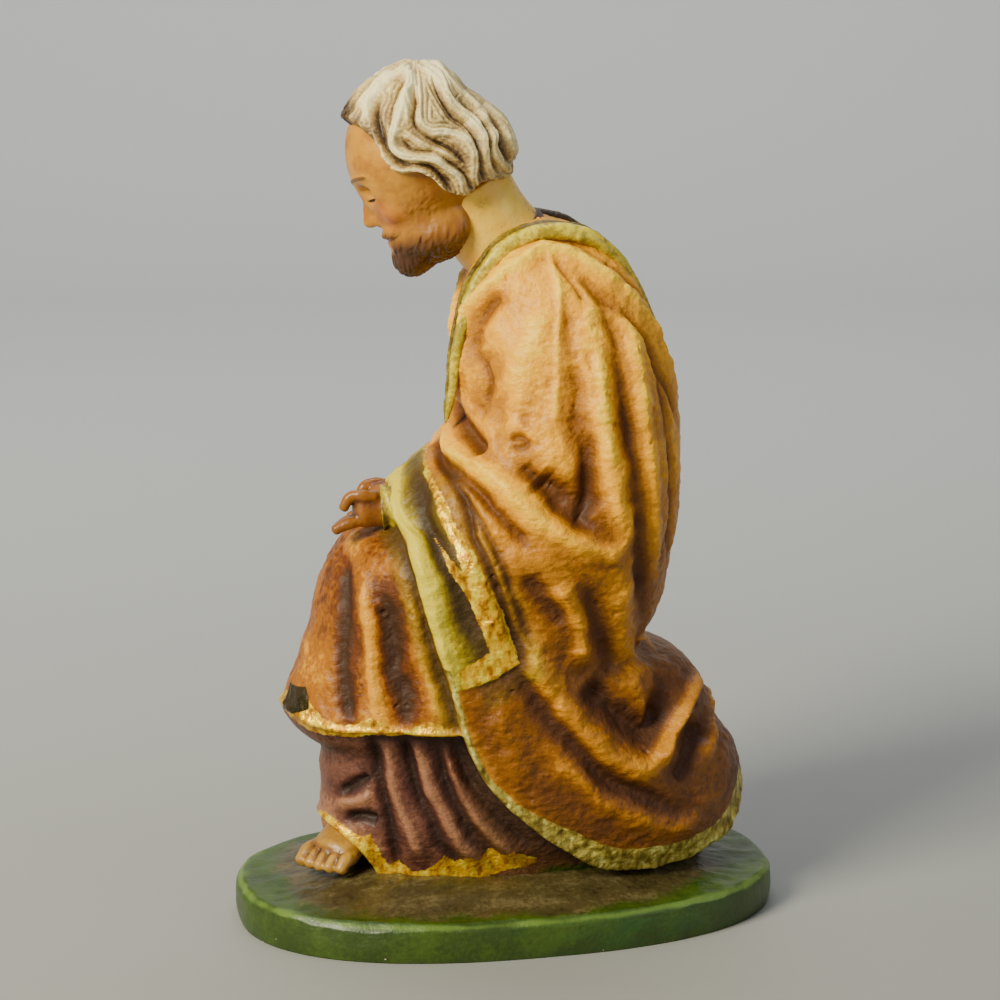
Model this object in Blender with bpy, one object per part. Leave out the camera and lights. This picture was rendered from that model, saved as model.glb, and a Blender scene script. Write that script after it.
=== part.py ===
"""A cast chalkware figure of a kneeling, bowed man in a mantle, on its oval base: one solid.

The figure faces -X, its left side is at -Y and it stands on z = 0, in metres. The base has its own sizes. The
figure's forms are written in units, and a unit is a fixed share of the figure's height over the base.
"""

import math

import bpy
import numpy as np

TOTAL_HEIGHT = 0.250  # underside of the base to the crown of the head
BASE_LENGTH = 0.160  # along X
BASE_DEPTH = 0.100  # along Y
RIM_HEIGHT = 0.0115  # underside of the base to the edge of its top
MOUND_HEIGHT = 0.0050  # how far the ground rises from the rim to the figure
RIM_ROUNDING = 0.0025  # worn edge of the base
BASE_SQUARENESS = 2.35  # 2 is an ellipse, more is fuller at the corners

VOXEL = 0.0011  # grid on which the forms are fused
KEPT_FACES = 0.045  # share of the fused faces that the cast keeps

FIGURE_HEIGHT = TOTAL_HEIGHT - RIM_HEIGHT
UNITS_HIGH = 238.5  # units from the edge of the base's top to the crown
GROUND_LEVEL = 11.5  # the level, in units, at which the figure's sizes put that edge
UNIT = FIGURE_HEIGHT / UNITS_HIGH

# The robed body by level: level, front, widest place, back, half width on the left and on the right.
BODY_LEVELS = (
    (4.0, -50.5, 10.0, 62.0, 26.0, 28.0),
    (17.0, -52.5, 10.0, 65.5, 29.0, 30.0),
    (24.0, -55.5, 12.0, 69.5, 33.0, 33.0),
    (31.8, -56.0, 12.0, 69.0, 35.5, 34.5),
    (39.0, -55.6, 12.0, 69.5, 36.5, 35.0),
    (46.6, -55.8, 11.0, 67.0, 37.0, 35.0),
    (52.5, -56.0, 9.0, 63.0, 37.0, 35.0),
    (57.5, -61.6, 6.0, 60.0, 37.0, 35.0),
    (63.5, -65.6, 3.0, 57.6, 37.0, 35.0),
    (70.5, -63.8, 1.0, 53.6, 37.0, 35.0),
    (74.5, -62.3, 0.2, 49.5, 37.0, 35.0),
    (78.5, -60.8, 0.0, 39.0, 37.0, 35.0),
    (83.0, -59.2, 0.0, 37.0, 37.5, 35.0),
    (90.0, -57.2, 1.0, 41.6, 38.5, 35.5),
    (100.5, -54.2, 4.0, 44.8, 40.5, 37.0),
    (109.0, -50.0, 8.0, 45.8, 43.0, 39.0),
    (114.5, -44.8, 10.0, 46.8, 44.5, 40.5),
    (118.5, -38.8, 12.0, 47.4, 45.0, 41.5),
    (127.0, -36.0, 14.0, 47.6, 45.5, 42.5),
    (133.0, -31.2, 15.0, 47.8, 45.5, 43.0),
    (139.5, -23.6, 15.0, 47.8, 45.3, 43.0),
    (146.0, -20.8, 15.5, 48.2, 44.8, 42.5),
    (154.0, -19.0, 16.0, 48.5, 44.0, 42.0),
    (167.0, -19.6, 16.0, 45.2, 42.0, 40.5),
    (179.0, -18.4, 14.0, 40.2, 38.0, 37.0),
    (189.3, -15.6, 11.0, 34.6, 31.5, 31.0),
    (198.0, -10.6, 8.0, 26.5, 22.5, 22.5),
    (203.0, -6.0, 5.0, 17.0, 15.0, 15.0),
    (205.0, -2.0, 4.5, 10.0, 8.0, 8.0),
)
BODY_SQUARENESS = 2.15
CHEST_TURN = 0.25  # how far the chest falls back, in x, for each unit towards its right
CHEST_TURN_FROM = -17.0  # y at which it starts

# Folds on the left, as (height, half width, ((x, level), ...)). A furrow has a height under zero.
LEFT_FOLDS = (
    (-3.4, 3.0, ((9.5, 171.0), (10.2, 162.0), (10.5, 155.0), (11.4, 143.5), (12.5, 133.0), (13.4, 126.5))),
    (-0.9, 2.6, ((7.5, 187.0), (9.3, 177.0), (9.8, 169.0))),
    (-4.0, 2.8, ((17.6, 189.5), (21.5, 181.5), (23.3, 169.8), (24.7, 154.4), (26.7, 138.4), (28.3, 118.4),
                 (30.9, 105.0), (33.6, 91.0))),
    (2.0, 3.0, ((15.2, 172.0), (16.8, 160.0), (18.3, 151.0), (20.6, 135.0), (22.5, 123.0))),
    (1.8, 3.0, ((27.5, 181.0), (28.1, 172.2), (29.8, 157.6), (30.5, 138.0), (33.0, 122.0), (36.0, 105.0))),
    (-3.0, 2.2, ((34.0, 174.0), (35.6, 170.9), (38.1, 156.0), (39.2, 140.0), (40.2, 124.0), (41.0, 108.0))),
    (2.2, 2.2, ((-18.8, 152.0), (-17.8, 159.3), (-16.4, 175.5), (-12.9, 184.4), (-6.3, 191.4), (1.1, 196.3),
                (7.0, 198.2), (15.5, 196.2), (21.5, 192.2), (30.5, 184.8), (38.9, 172.3), (45.0, 158.0))),
    (-1.7, 1.1, ((-19.0, 150.0), (-18.6, 162.0), (-17.8, 170.5), (-16.1, 181.6), (-13.2, 188.2), (-8.7, 193.9),
                 (-2.0, 199.2), (4.5, 201.2), (10.6, 200.8), (19.8, 197.4), (29.4, 190.0), (36.7, 182.0),
                 (43.0, 172.0))),
    (-3.6, 2.8, ((-6.8, 188.2), (-10.4, 183.2), (-13.2, 177.8), (-14.2, 171.6), (-13.6, 166.0))),
    (-1.6, 4.0, ((-12.2, 172.0), (-11.3, 165.0), (-12.0, 158.0), (-13.0, 152.0))),
    (-3.0, 2.5, ((11.0, 194.5), (17.6, 189.6), (23.0, 185.2), (28.9, 180.4), (35.2, 171.0), (40.6, 160.0),
                 (44.5, 148.0))),
    (1.4, 4.4, ((1.0, 184.0), (-2.5, 170.0), (-4.0, 156.0), (-5.0, 147.0))),
    (0.9, 1.3, ((7.8, 197.0), (7.9, 190.0), (6.4, 179.3), (5.0, 162.8), (4.2, 152.0))),
    (-5.0, 2.6, ((-18.9, 152.2), (-16.3, 147.6), (-14.0, 144.2), (-12.8, 142.4))),
    (2.6, 3.0, ((-21.0, 144.0), (-15.5, 141.0), (-10.4, 137.2), (-1.6, 128.6), (7.4, 122.0), (13.0, 118.2),
                (17.9, 115.8))),
    (1.6, 2.6, ((16.5, 115.8), (21.5, 118.0), (24.2, 124.0), (24.6, 131.0))),
    (-3.4, 1.7, ((-24.3, 143.0), (-21.1, 138.4), (-15.4, 133.2), (-12.0, 128.8), (-6.7, 123.0), (-3.0, 119.0))),
    (-4.8, 4.6, ((-1.6, 140.0), (3.5, 135.0), (9.0, 130.0), (14.5, 125.5))),
    (-3.0, 2.8, ((-4.3, 111.2), (1.3, 103.9), (7.5, 95.6))),
    (2.6, 3.0, ((4.2, 108.4), (10.0, 99.0), (13.2, 90.5), (12.2, 84.0))),
    (-2.6, 2.6, ((13.0, 107.0), (16.4, 98.0), (20.2, 84.5), (22.5, 76.5))),
    (2.4, 4.4, ((23.0, 108.0), (25.0, 94.0), (27.5, 84.0), (30.5, 77.5))),
    (3.8, 4.2, ((-2.2, 90.5), (2.8, 76.5), (10.1, 65.8), (19.4, 55.6), (30.9, 49.4), (36.5, 51.0))),
    (3.6, 2.4, ((35.0, 50.5), (39.5, 55.0), (43.5, 60.5), (49.0, 66.3), (54.4, 68.0))),
    (-6.4, 4.4, ((14.9, 77.2), (21.3, 70.3), (29.5, 63.0), (34.0, 60.0), (37.5, 64.0), (40.0, 70.0))),
    (-4.2, 2.4, ((-4.5, 81.3), (0.8, 73.4), (8.6, 62.0), (20.3, 49.2), (31.8, 41.8), (39.9, 36.6),
                 (46.2, 35.6))),
    (1.6, 3.0, ((4.0, 58.0), (16.0, 44.5), (30.0, 35.5), (43.0, 30.0), (51.0, 32.0))),
    (-2.8, 3.4, ((42.5, 44.0), (47.0, 51.0), (52.0, 57.5))),
    (1.8, 3.0, ((51.5, 48.0), (57.0, 56.0), (60.0, 62.0))),
    (2.0, 1.9, ((33.0, 86.0), (37.5, 81.5), (40.0, 77.0))),
    (1.2, 3.4, ((-10.0, 74.0), (-9.0, 62.0), (-3.0, 50.0))),
    (1.7, 2.2, ((-28.0, 141.0), (-33.0, 134.5), (-34.0, 125.0), (-31.6, 116.5), (-28.4, 105.0), (-25.2, 92.4),
                (-22.2, 82.0))),
    (-1.7, 3.0, ((-28.0, 134.0), (-27.6, 124.0), (-25.0, 114.0), (-20.5, 102.0), (-17.0, 90.0))),
    (-2.2, 1.3, ((-24.7, 143.0), (-21.4, 135.5), (-18.9, 128.5), (-15.8, 118.5), (-11.6, 108.0),
                 (-6.9, 94.0), (-4.0, 85.0))),
    (-2.1, 1.3, ((-19.7, 133.0), (-14.2, 122.5), (-9.3, 110.6), (-4.5, 97.6), (-1.8, 90.0))),
    (1.1, 1.6, ((-17.0, 126.0), (-12.6, 115.5), (-8.4, 104.5), (-4.6, 92.5))),
    (-2.8, 2.2, ((-50.6, 111.0), (-51.7, 102.7), (-53.0, 90.6), (-53.2, 77.6), (-52.0, 65.0))),
    (1.4, 2.2, ((-48.0, 108.0), (-47.6, 93.2), (-46.4, 77.7), (-45.5, 65.0))),
    (-3.2, 3.2, ((-42.5, 105.8), (-42.5, 96.0), (-41.7, 83.2), (-39.7, 74.3), (-38.0, 65.0))),
    (1.8, 2.8, ((-38.2, 111.0), (-35.2, 98.7), (-30.6, 80.0), (-28.0, 66.0))),
    (-2.8, 1.7, ((-45.5, 60.4), (-43.5, 47.0), (-42.2, 38.5), (-39.5, 27.0), (-37.5, 17.0))),
    (1.6, 2.0, ((-41.3, 58.0), (-39.0, 45.0), (-36.5, 35.0), (-31.0, 22.0))),
    (-2.8, 1.7, ((-37.0, 61.0), (-34.8, 52.0), (-32.6, 44.0), (-28.5, 33.0), (-24.5, 24.5), (-20.0, 18.0))),
    (1.6, 2.0, ((-32.6, 58.0), (-29.6, 47.0), (-26.0, 38.0), (-20.5, 28.0), (-15.0, 20.0))),
    (-2.6, 1.7, ((-28.2, 60.0), (-25.0, 48.0), (-21.8, 39.5), (-17.5, 31.0), (-12.5, 24.0), (-8.0, 18.0))),
    (1.5, 1.8, ((-25.3, 57.0), (-21.8, 46.0), (-16.5, 36.5), (-9.5, 28.0), (-4.0, 22.0))),
    (-2.0, 1.5, ((-22.9, 60.0), (-18.0, 47.4), (-11.0, 38.0), (-3.4, 29.8), (1.0, 25.0))),
)

# Folds on the right, plainer: the mantle falls from the shoulder and drapes the bent right leg.
RIGHT_FOLDS = (
    (-3.0, 2.8, ((20.0, 188.0), (25.0, 172.0), (28.0, 150.0), (29.0, 122.0), (27.0, 98.0))),
    (-2.6, 2.8, ((4.0, 178.0), (4.0, 158.0), (8.0, 138.0))),
    (1.8, 3.4, ((12.0, 182.0), (15.0, 160.0), (19.0, 138.0), (20.0, 112.0))),
    (1.8, 3.2, ((32.0, 176.0), (37.0, 152.0), (37.5, 126.0), (35.0, 104.0))),
    (1.9, 2.2, ((-20.2, 166.0), (-18.5, 180.6), (-11.9, 192.8), (2.1, 199.5), (11.3, 200.0), (20.2, 196.0),
                (30.1, 187.5), (40.9, 173.5), (47.5, 158.0))),
    (2.6, 3.6, ((-24.0, 140.0), (-12.0, 129.0), (2.0, 120.0), (17.0, 114.0))),
    (-3.4, 2.8, ((-20.0, 130.0), (-8.0, 119.0), (5.0, 111.0))),
    (-3.8, 4.6, ((0.0, 138.0), (8.0, 129.0), (15.0, 123.0))),
    (2.6, 3.4, ((-8.0, 108.0), (2.0, 88.0), (16.0, 70.0), (34.0, 56.0), (48.0, 52.0))),
    (-3.0, 3.0, ((-16.0, 100.0), (-6.0, 80.0), (8.0, 62.0), (26.0, 47.0), (44.0, 40.0))),
    (2.2, 3.2, ((-24.0, 96.0), (-18.0, 74.0), (-6.0, 54.0), (12.0, 38.0), (34.0, 29.0))),
    (-4.0, 4.0, ((18.0, 84.0), (27.0, 72.0), (37.0, 66.0), (44.0, 72.0))),
    (-2.2, 2.6, ((-50.0, 104.0), (-50.5, 84.0), (-49.0, 65.0))),
    (-2.2, 2.6, ((-38.0, 106.0), (-37.5, 84.0), (-34.0, 65.0))),
    (1.6, 2.6, ((-44.0, 108.0), (-44.5, 86.0), (-42.0, 65.0))),
    (-2.2, 1.7, ((-42.0, 58.0), (-40.0, 40.0), (-37.0, 18.0))),
    (-2.2, 1.7, ((-33.0, 58.0), (-30.0, 40.0), (-25.0, 18.0))),
    (1.5, 1.9, ((-37.5, 57.0), (-35.0, 40.0), (-31.0, 18.0))),
    (-2.0, 1.8, ((-24.0, 56.0), (-20.0, 38.0), (-13.0, 18.0))),
)

# Cloth edges, as (x, level). Behind its edge the mantle stands proud of the tunic and of the knee's drape.
MANTLE_EDGE = ((-22.0, 150.0), (-25.6, 145.0), (-33.0, 139.8), (-37.2, 133.0), (-37.2, 125.5), (-34.6, 116.4),
               (-31.7, 105.9), (-28.5, 92.4), (-24.6, 80.3), (-22.3, 71.0), (-19.3, 59.8), (-13.9, 48.5),
               (-4.9, 37.9), (8.9, 26.7), (20.7, 19.5), (30.0, 17.2), (44.4, 17.4), (57.3, 20.2),
               (66.1, 27.0), (71.2, 36.0), (78.0, 46.0))
LINING_EDGE = ((-26.6, 144.0), (-25.2, 133.8), (-22.4, 126.1), (-19.2, 117.9), (-14.9, 109.0), (-11.0, 100.5),
               (-6.8, 88.7), (-5.0, 84.6), (-8.8, 81.4), (-14.5, 78.4), (-21.0, 76.6))
DRAPE_HEM_LEVEL = 61.5  # the hem of the cloth over the raised knee
EDGE_STEP = 1.6  # how far the mantle stands out over its edge
LINING_STEP = 0.9  # how far the turned-over lining stands out over the mantle
TUCK = 4.0  # how far the tunic lies inside the cloth over it
EDGE_SOFTNESS = 1.7

# The rolled edge of the mantle, from the chest over the shoulder to the middle of the back: x, y, level and
# half width.
ROLL = ((-19.6, -17.5, 149.0, 1.3), (-18.0, -17.6, 158.0, 1.8), (-17.0, -17.4, 172.0, 2.5),
        (-13.2, -16.6, 187.6, 3.3), (-4.0, -15.8, 198.8, 3.9), (8.0, -15.4, 202.6, 4.2), (20.6, -14.0, 200.4, 4.0),
        (30.4, -11.2, 192.4, 3.4), (38.6, -8.0, 179.4, 2.7), (43.8, -5.0, 167.6, 2.2), (46.8, -2.5, 157.2, 1.8),
        (48.0, -0.5, 146.0, 1.5))
ROLL_FLATNESS = 0.62  # its thickness as a share of its width
ROLL_AROUND = (12.0, 0.0, 165.0)  # the point that it faces away from

# The head: its centre, size, bow and turn.
HEAD_CENTRE = (-23.3, 0.0, 222.6)
HEAD_SIZE = 1.08
BOW = math.radians(26.0)
TURN = math.radians(12.0)
# Rounded forms of the head, as centre and half axes in the head's own forward, left and up.
HEAD_FORMS = (
    ((1.0, 0.0, 1.5), (18.8, 16.8, 20.0)),
    ((4.2, 0.0, -6.0), (14.8, 13.2, 19.0)),
    ((7.0, 0.0, -17.0), (12.0, 10.8, 8.8)),
    ((13.4, 0.0, -22.0), (6.0, 7.0, 5.2)),
    ((4.0, 8.6, -17.6), (8.0, 4.4, 6.2)),
    ((4.0, -8.6, -17.6), (8.0, 4.4, 6.2)),
    ((5.0, 0.0, -21.0), (10.0, 8.6, 4.8)),
    ((15.2, 0.0, 2.6), (4.0, 10.0, 2.8)),
    ((11.6, -7.0, -8.2), (4.6, 4.8, 5.2)),
    ((11.6, 7.0, -8.2), (4.6, 4.8, 5.2)),
    ((17.2, 0.0, -3.0), (2.8, 1.9, 6.4)),
    ((18.6, 0.0, -8.8), (3.2, 2.6, 2.5)),
    ((16.2, 0.0, -14.2), (2.8, 4.8, 1.9)),
    ((16.0, 0.0, -17.2), (2.6, 4.0, 1.5)),
)
# Hair: the form that the waved locks lie on, and their number, from the crown to the hairline.
HAIR_CENTRE = (-1.8, 0.0, 1.6)
HAIR_AXES = (21.8, 18.8, 21.4)
# The hair's profile seen from the side: degrees up from straight ahead, and its share of the oval form.
HAIR_PROFILE = ((-90, 1.0), (0, 1.0), (38, 1.06), (52, 1.11), (64, 1.11), (80, 1.072), (99, 1.075), (113, 1.01),
                (136, 0.94), (150, 0.87), (167, 0.865), (185, 0.975), (198, 1.04), (210, 1.05), (235, 1.02), (270, 1.0))
HAIR_LOCKS = 18
HAIR_WAVE = 0.15
BROW_REACH = math.radians(50.0)  # from the crown to the hairline, over the brow
NAPE_REACH = math.radians(140.0)  # and to the nape

NECK = (((-14.0, 0.0, 209.0), 11.0), ((-5.0, 0.0, 202.0), 11.6), ((5.0, 0.0, 191.0), 13.0))
COLLAR = ((-1.5, 0.0, 199.5), (2.0, 0.0, 194.5), (5.0, 0.0, 188.0))
COLLAR_RADIUS = 13.0
LEFT_WRIST = (-37.4, -9.0, 123.8)
RIGHT_WRIST = (-29.5, 8.0, 122.5)


def eased(places, values, at):
    """A cubic through values at places whose slope at each is the slope between its two neighbours."""
    places = np.asarray(places, float)
    values = np.asarray(values, float)
    slope = np.gradient(values, places)
    left = np.clip(np.searchsorted(places, at) - 1, 0, len(places) - 2)
    span = places[left + 1] - places[left]
    t = np.clip((at - places[left]) / span, 0.0, 1.0)
    return (
        (2 * t**3 - 3 * t**2 + 1) * values[left]
        + (t**3 - 2 * t**2 + t) * span * slope[left]
        + (3 * t**2 - 2 * t**3) * values[left + 1]
        + (t**3 - t**2) * span * slope[left + 1]
    )


def smooth_path(points, count):
    """count points spaced evenly along a smooth curve through the given ones."""
    points = np.asarray(points, float)
    steps = np.arange(len(points))
    fine = np.linspace(0, len(points) - 1, 12 * len(points))
    dense = np.stack([eased(steps, points[:, k], fine) for k in range(points.shape[1])], axis=1)
    walked = np.concatenate([[0.0], np.cumsum(np.linalg.norm(np.diff(dense, axis=0), axis=1))])
    even = np.linspace(0, walked[-1], count)
    return np.stack([np.interp(even, walked, dense[:, k]) for k in range(points.shape[1])], axis=1)


def body_ring_point(angle, level):
    """A point of the body: half a superellipse on the left, half on the right, joined at front and back."""
    table = np.array(BODY_LEVELS)
    front, widest, back, left, right = (eased(table[:, 0], table[:, k], level) for k in range(1, 6))
    across, along = np.sin(angle), -np.cos(angle)
    power = 2.0 / BODY_SQUARENESS
    reach = np.where(along < 0, widest - front, back - widest)
    x = widest + np.sign(along) * np.abs(along) ** power * reach
    y = np.abs(across) ** power * np.where(across < 0, right, -left)
    return np.stack([x, y, level + 0 * x], axis=-1)


def side_depth(x, level, left):
    """y of the body's surface at x and level, on the left or on the right."""
    table = np.array(BODY_LEVELS)
    front, widest, back, left_half, right_half = (eased(table[:, 0], table[:, k], level) for k in range(1, 6))
    reach = np.where(x < widest, widest - front, back - widest)
    across = np.clip(np.abs(x - widest) / reach, 0, 1) ** BODY_SQUARENESS
    half = np.maximum(1 - across, 0) ** (1 / BODY_SQUARENESS)
    return -half * left_half if left else half * right_half


def rise_over(value, start, end):
    """0 before start and 1 after end, with a smooth rise between."""
    t = np.clip((value - start) / (end - start), 0, 1)
    return t * t * (3 - 2 * t)


def step_up(distance, softness=EDGE_SOFTNESS):
    """A smooth step from 0 to 1 at distance 0, over softness on each side of it."""
    return rise_over(distance, -softness, softness)


def turned(points):
    """The front of the chest falls back towards the figure's right, as the head is turned that way."""
    x, y, level = np.moveaxis(np.asarray(points, float), -1, 0)
    front = 1 - rise_over(x, -2.0, 12.0)
    back = CHEST_TURN * np.maximum(y - CHEST_TURN_FROM, 0) * front * rise_over(level, 118.0, 138.0)
    return np.stack([x + back, y, level], axis=-1)


def nearest_on(path, points):
    """Distance of each point to a path, how far along it from 0 to 1, and its side in the x-z plane."""
    best = np.full(len(points), 1e9)
    share = np.zeros(len(points))
    side = np.ones(len(points))
    for i in range(len(path) - 1):
        start, run = path[i], path[i + 1] - path[i]
        t = np.clip(((points - start) @ run) / (run @ run), 0, 1)
        away = points - start - t[:, None] * run
        distance = np.linalg.norm(away, axis=1)
        closer = distance < best
        best = np.where(closer, distance, best)
        share = np.where(closer, (i + t) / (len(path) - 1), share)
        turn = run[0] * away[:, -1] - run[-1] * away[:, 0]
        side = np.where(closer, np.sign(turn), side)
    return best, share, side


def fold_heights(points, folds, left):
    """Sum of the folds' heights at the points: each is a bell across its path, and dies away at its ends."""
    total = np.zeros(len(points))
    for height, half_width, places in folds:
        path = smooth_path(places, 5 * len(places))
        depth = side_depth(path[:, 0], path[:, 1], left)
        path = np.stack([path[:, 0], depth, path[:, 1]], axis=1)
        reach = 2.6 * half_width
        low, high = path.min(axis=0) - reach, path.max(axis=0) + reach
        near = ((points > low) & (points < high)).all(axis=1)
        distance, share, _ = nearest_on(path, points[near])
        ends = np.clip(np.minimum(share, 1 - share) * 6 + 0.25, 0, 1)
        total[near] += height * ends * np.exp(-((distance / half_width) ** 2))
    return total


def edge_side(points, edge):
    """Signed distance in the x-z plane to an edge: positive on its left as it runs."""
    path = smooth_path(edge, 4 * len(edge))
    distance, _, side = nearest_on(path, points[:, [0, 2]])
    return distance * side


def body_cover(points):
    """How far each point stands out: the tunic is tucked in under the mantle and the knee's drape."""
    x, _, level = points.T
    over_mantle = step_up(edge_side(points, MANTLE_EDGE))
    over_knee = step_up(level - DRAPE_HEM_LEVEL - 0.8 * np.sin(x / 5.0))
    tucked = (1 - over_mantle) * (1 - over_knee) * rise_over(x, -64, -36)
    band = rise_over(level, 74, 80) * (1 - rise_over(level, 138, 148))
    lining = step_up(-edge_side(points, LINING_EDGE)) * over_mantle * band
    low = 1 - rise_over(level, 138, 156)
    return EDGE_STEP * over_mantle * low - TUCK * tucked + LINING_STEP * lining


def body_grid(columns, rows):
    """The robed body: superellipse rings by level, moved along their normals by the cloth and its folds."""
    angle = np.linspace(0, 2 * math.pi, columns, endpoint=False)
    level = np.linspace(BODY_LEVELS[0][0], BODY_LEVELS[-1][0], rows)
    angles, levels = np.meshgrid(angle, level)
    grid = body_ring_point(angles, levels)
    around = np.roll(grid, -1, axis=1) - np.roll(grid, 1, axis=1)
    upward = np.gradient(grid, axis=0)
    normal = np.cross(around, upward)
    normal /= np.linalg.norm(normal, axis=-1, keepdims=True) + 1e-9
    points = grid.reshape(-1, 3)
    left_relief = fold_heights(points, LEFT_FOLDS, True)
    right_relief = fold_heights(points, RIGHT_FOLDS, False)
    lift = np.where(points[:, 1] < 0, left_relief, right_relief) + body_cover(points)
    return turned(grid + normal * lift.reshape(rows, columns, 1))


def tube_grid(path, half_widths, half_heights, outward, sides):
    """An ellipse carried along a path. Its height points outward; its ends are rounded off."""
    run = np.gradient(path, axis=0)
    run /= np.linalg.norm(run, axis=1, keepdims=True)
    up = outward - (outward * run).sum(1, keepdims=True) * run
    up /= np.linalg.norm(up, axis=1, keepdims=True)
    across = np.cross(run, up)
    turn = np.linspace(0, 2 * math.pi, sides, endpoint=False)
    wide = np.asarray(half_widths)[:, None, None] * np.cos(turn)[None, :, None]
    high = np.asarray(half_heights)[:, None, None] * np.sin(turn)[None, :, None]
    return path[:, None, :] + wide * across[:, None, :] + high * up[:, None, :]


def rounded_ends(count, share=0.12):
    """Sizes along a tube from 0 to 1 to 0, full apart from a round end of the given share of its length."""
    t = np.linspace(0, 1, count)
    into = np.clip(np.minimum(t, 1 - t) / share, 0, 1)
    return np.sqrt(1 - (1 - into) ** 2) * 0.999 + 0.001


def ellipsoid_grid(centre, axes, rows=14, columns=20):
    """A rounded form as rings from its lowest point to its highest."""
    rise = np.linspace(-math.pi / 2, math.pi / 2, rows)
    turn = np.linspace(0, 2 * math.pi, columns, endpoint=False)
    ring = np.stack([np.outer(np.cos(rise), np.cos(turn)), np.outer(np.cos(rise), np.sin(turn)),
                     np.outer(np.sin(rise), np.ones(columns))], axis=-1)
    return np.asarray(centre) + ring * np.asarray(axes)


def from_head(points):
    """The head's own forward, left and up as x, y and level: bowed forward, then turned to its right."""
    forward, left, up = np.moveaxis(np.asarray(points, float) * HEAD_SIZE, -1, 0)
    ahead = forward * math.cos(BOW) + up * math.sin(BOW)
    level = up * math.cos(BOW) - forward * math.sin(BOW)
    x = -ahead * math.cos(TURN) - left * math.sin(TURN)
    y = ahead * math.sin(TURN) - left * math.cos(TURN)
    return np.stack([x, y, level], axis=-1) + np.asarray(HEAD_CENTRE)


def hair_profile(direction):
    """The share of the oval form that the hair reaches in a direction: the profile's, and 1 straight sideways."""
    degrees, share = np.transpose(HAIR_PROFILE)
    angle = np.degrees(np.arctan2(direction[..., 2], direction[..., 0]))
    angle = np.where(angle < -90, angle + 360, angle)
    in_profile = np.hypot(direction[..., 0], direction[..., 2])
    return (1 + in_profile * (np.interp(angle, degrees, share) - 1))[..., None]


def lock_path(bearing, reach, wave, count):
    """A lock from the crown down the skull, swinging to each side of its bearing in a growing wave."""
    t = np.linspace(0, 1, count)
    fall = math.radians(8) + t * reach
    sway = wave * np.sin(t * 3.0 * math.pi + bearing * 2.0) * t**0.5
    swing = bearing + sway / np.maximum(np.sin(fall), 0.35)
    direction = np.stack([np.sin(fall) * np.cos(swing), np.sin(fall) * np.sin(swing), np.cos(fall)], axis=1)
    return np.asarray(HAIR_CENTRE) + direction * np.asarray(HAIR_AXES) * hair_profile(direction), direction


def hair_reach(bearing):
    """Angle from the crown to the hairline: short over the brow, longest at the nape."""
    back = (1 - math.cos(bearing)) / 2
    return BROW_REACH + (NAPE_REACH - BROW_REACH) * back**0.5


def hair_grids():
    """The hair's mass over the skull, behind the hairline, and the locks that lie on it."""
    grids = [from_head(ellipsoid_grid((-3.2, 0.0, 1.2), (17.4, 18.2, 20.4), 18, 26))]
    for k in range(HAIR_LOCKS):
        bearing = 2 * math.pi * (k + 0.5) / HAIR_LOCKS - math.pi
        path, outward = lock_path(bearing, hair_reach(bearing), HAIR_WAVE, 22)
        full = rounded_ends(22, 0.3)
        outward = from_head(outward) - from_head((0, 0, 0))
        grids.append(tube_grid(from_head(path), 3.3 * full, 2.2 * full, outward, 8))
    return grids


def finger_grid(places, radius, outward):
    """A finger: a round tube through its joints with a rounded tip."""
    path = smooth_path(places, 10)
    full = rounded_ends(10, 0.22)
    return tube_grid(path, radius * full, radius * full, np.tile(outward, (10, 1)), 8)


def hand_grids(wrist, side):
    """A hand half closed over the knee: cuff, palm, three fingers laid forward, one curled, and the thumb."""
    out = np.array([0.0, float(side), 0.25])
    wrist = np.asarray(wrist, float)
    facing = np.tile(out, (10, 1))
    full = rounded_ends(10, 0.22)
    cuff = smooth_path((wrist + (15, side * 9, 4), wrist + (4, side * 2, 1), wrist + (-0.5, 0, 0)), 10)
    size = np.linspace(9.5, 6.6, 10)
    palm = smooth_path((wrist + (3, side, 0), wrist + (-4, 0, 0), wrist + (-9.0, 0, -1.0)), 10)
    grids = [tube_grid(cuff, size, size, facing, 14), tube_grid(palm, 5.2 * full, 3.8 * full, facing, 12)]
    for k in range(3):
        root = wrist + (-6.0, side * (1.6 - 2.4 * k), -2.6 - 0.4 * k)
        grids.append(finger_grid((root, root + (-4.5, 0, -1.0), root + (-9.4 + 0.8 * k, 0, -3.2)), 1.9, out))
    knuckle = wrist + (-6.0, side * 1.0, 2.8)
    grids.append(finger_grid((knuckle, knuckle + (-4.0, 0, 0.8), knuckle + (-6.2, 0, -3.0)), 1.8, out))
    thumb = wrist + (-2.0, side * 2.0, 3.6)
    grids.append(finger_grid((thumb, thumb + (-5.0, 0.0, 0.8), thumb + (-8.6, -side * 1.4, 0.6)), 1.8, out))
    return grids


def foot_grids():
    """The left foot, turned out: the instep under the hem and five toes side by side."""
    heading = math.radians(38)
    ahead = np.array([-math.cos(heading), -math.sin(heading), 0.0])
    across = np.array([-math.sin(heading), math.cos(heading), 0.0])
    up = np.array([0.0, 0.0, 1.0])
    ankle = np.array([-44.5, 0.0, 21.0])
    full = rounded_ends(10, 0.25)
    instep = smooth_path((ankle + 6 * up, ankle + 6 * ahead + 2.5 * up, ankle + 13 * ahead - 2.0 * up), 10)
    grids = [tube_grid(instep, 8.6 * full, 5.4 * full, np.tile(up, (10, 1)), 14)]
    for k in range(5):
        place = (k - 2.0) * 3.5
        size = 2.6 if k == 4 else 2.1
        length = 9.8 - 0.28 * (2.6 - k) ** 2
        start = ankle + 8 * ahead + place * across + 0.5 * up
        toe = (start, start + length * 0.6 * ahead - 1.4 * up, start + length * ahead - 4.4 * up)
        grids.append(finger_grid(toe, size, up))
    return grids


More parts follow.
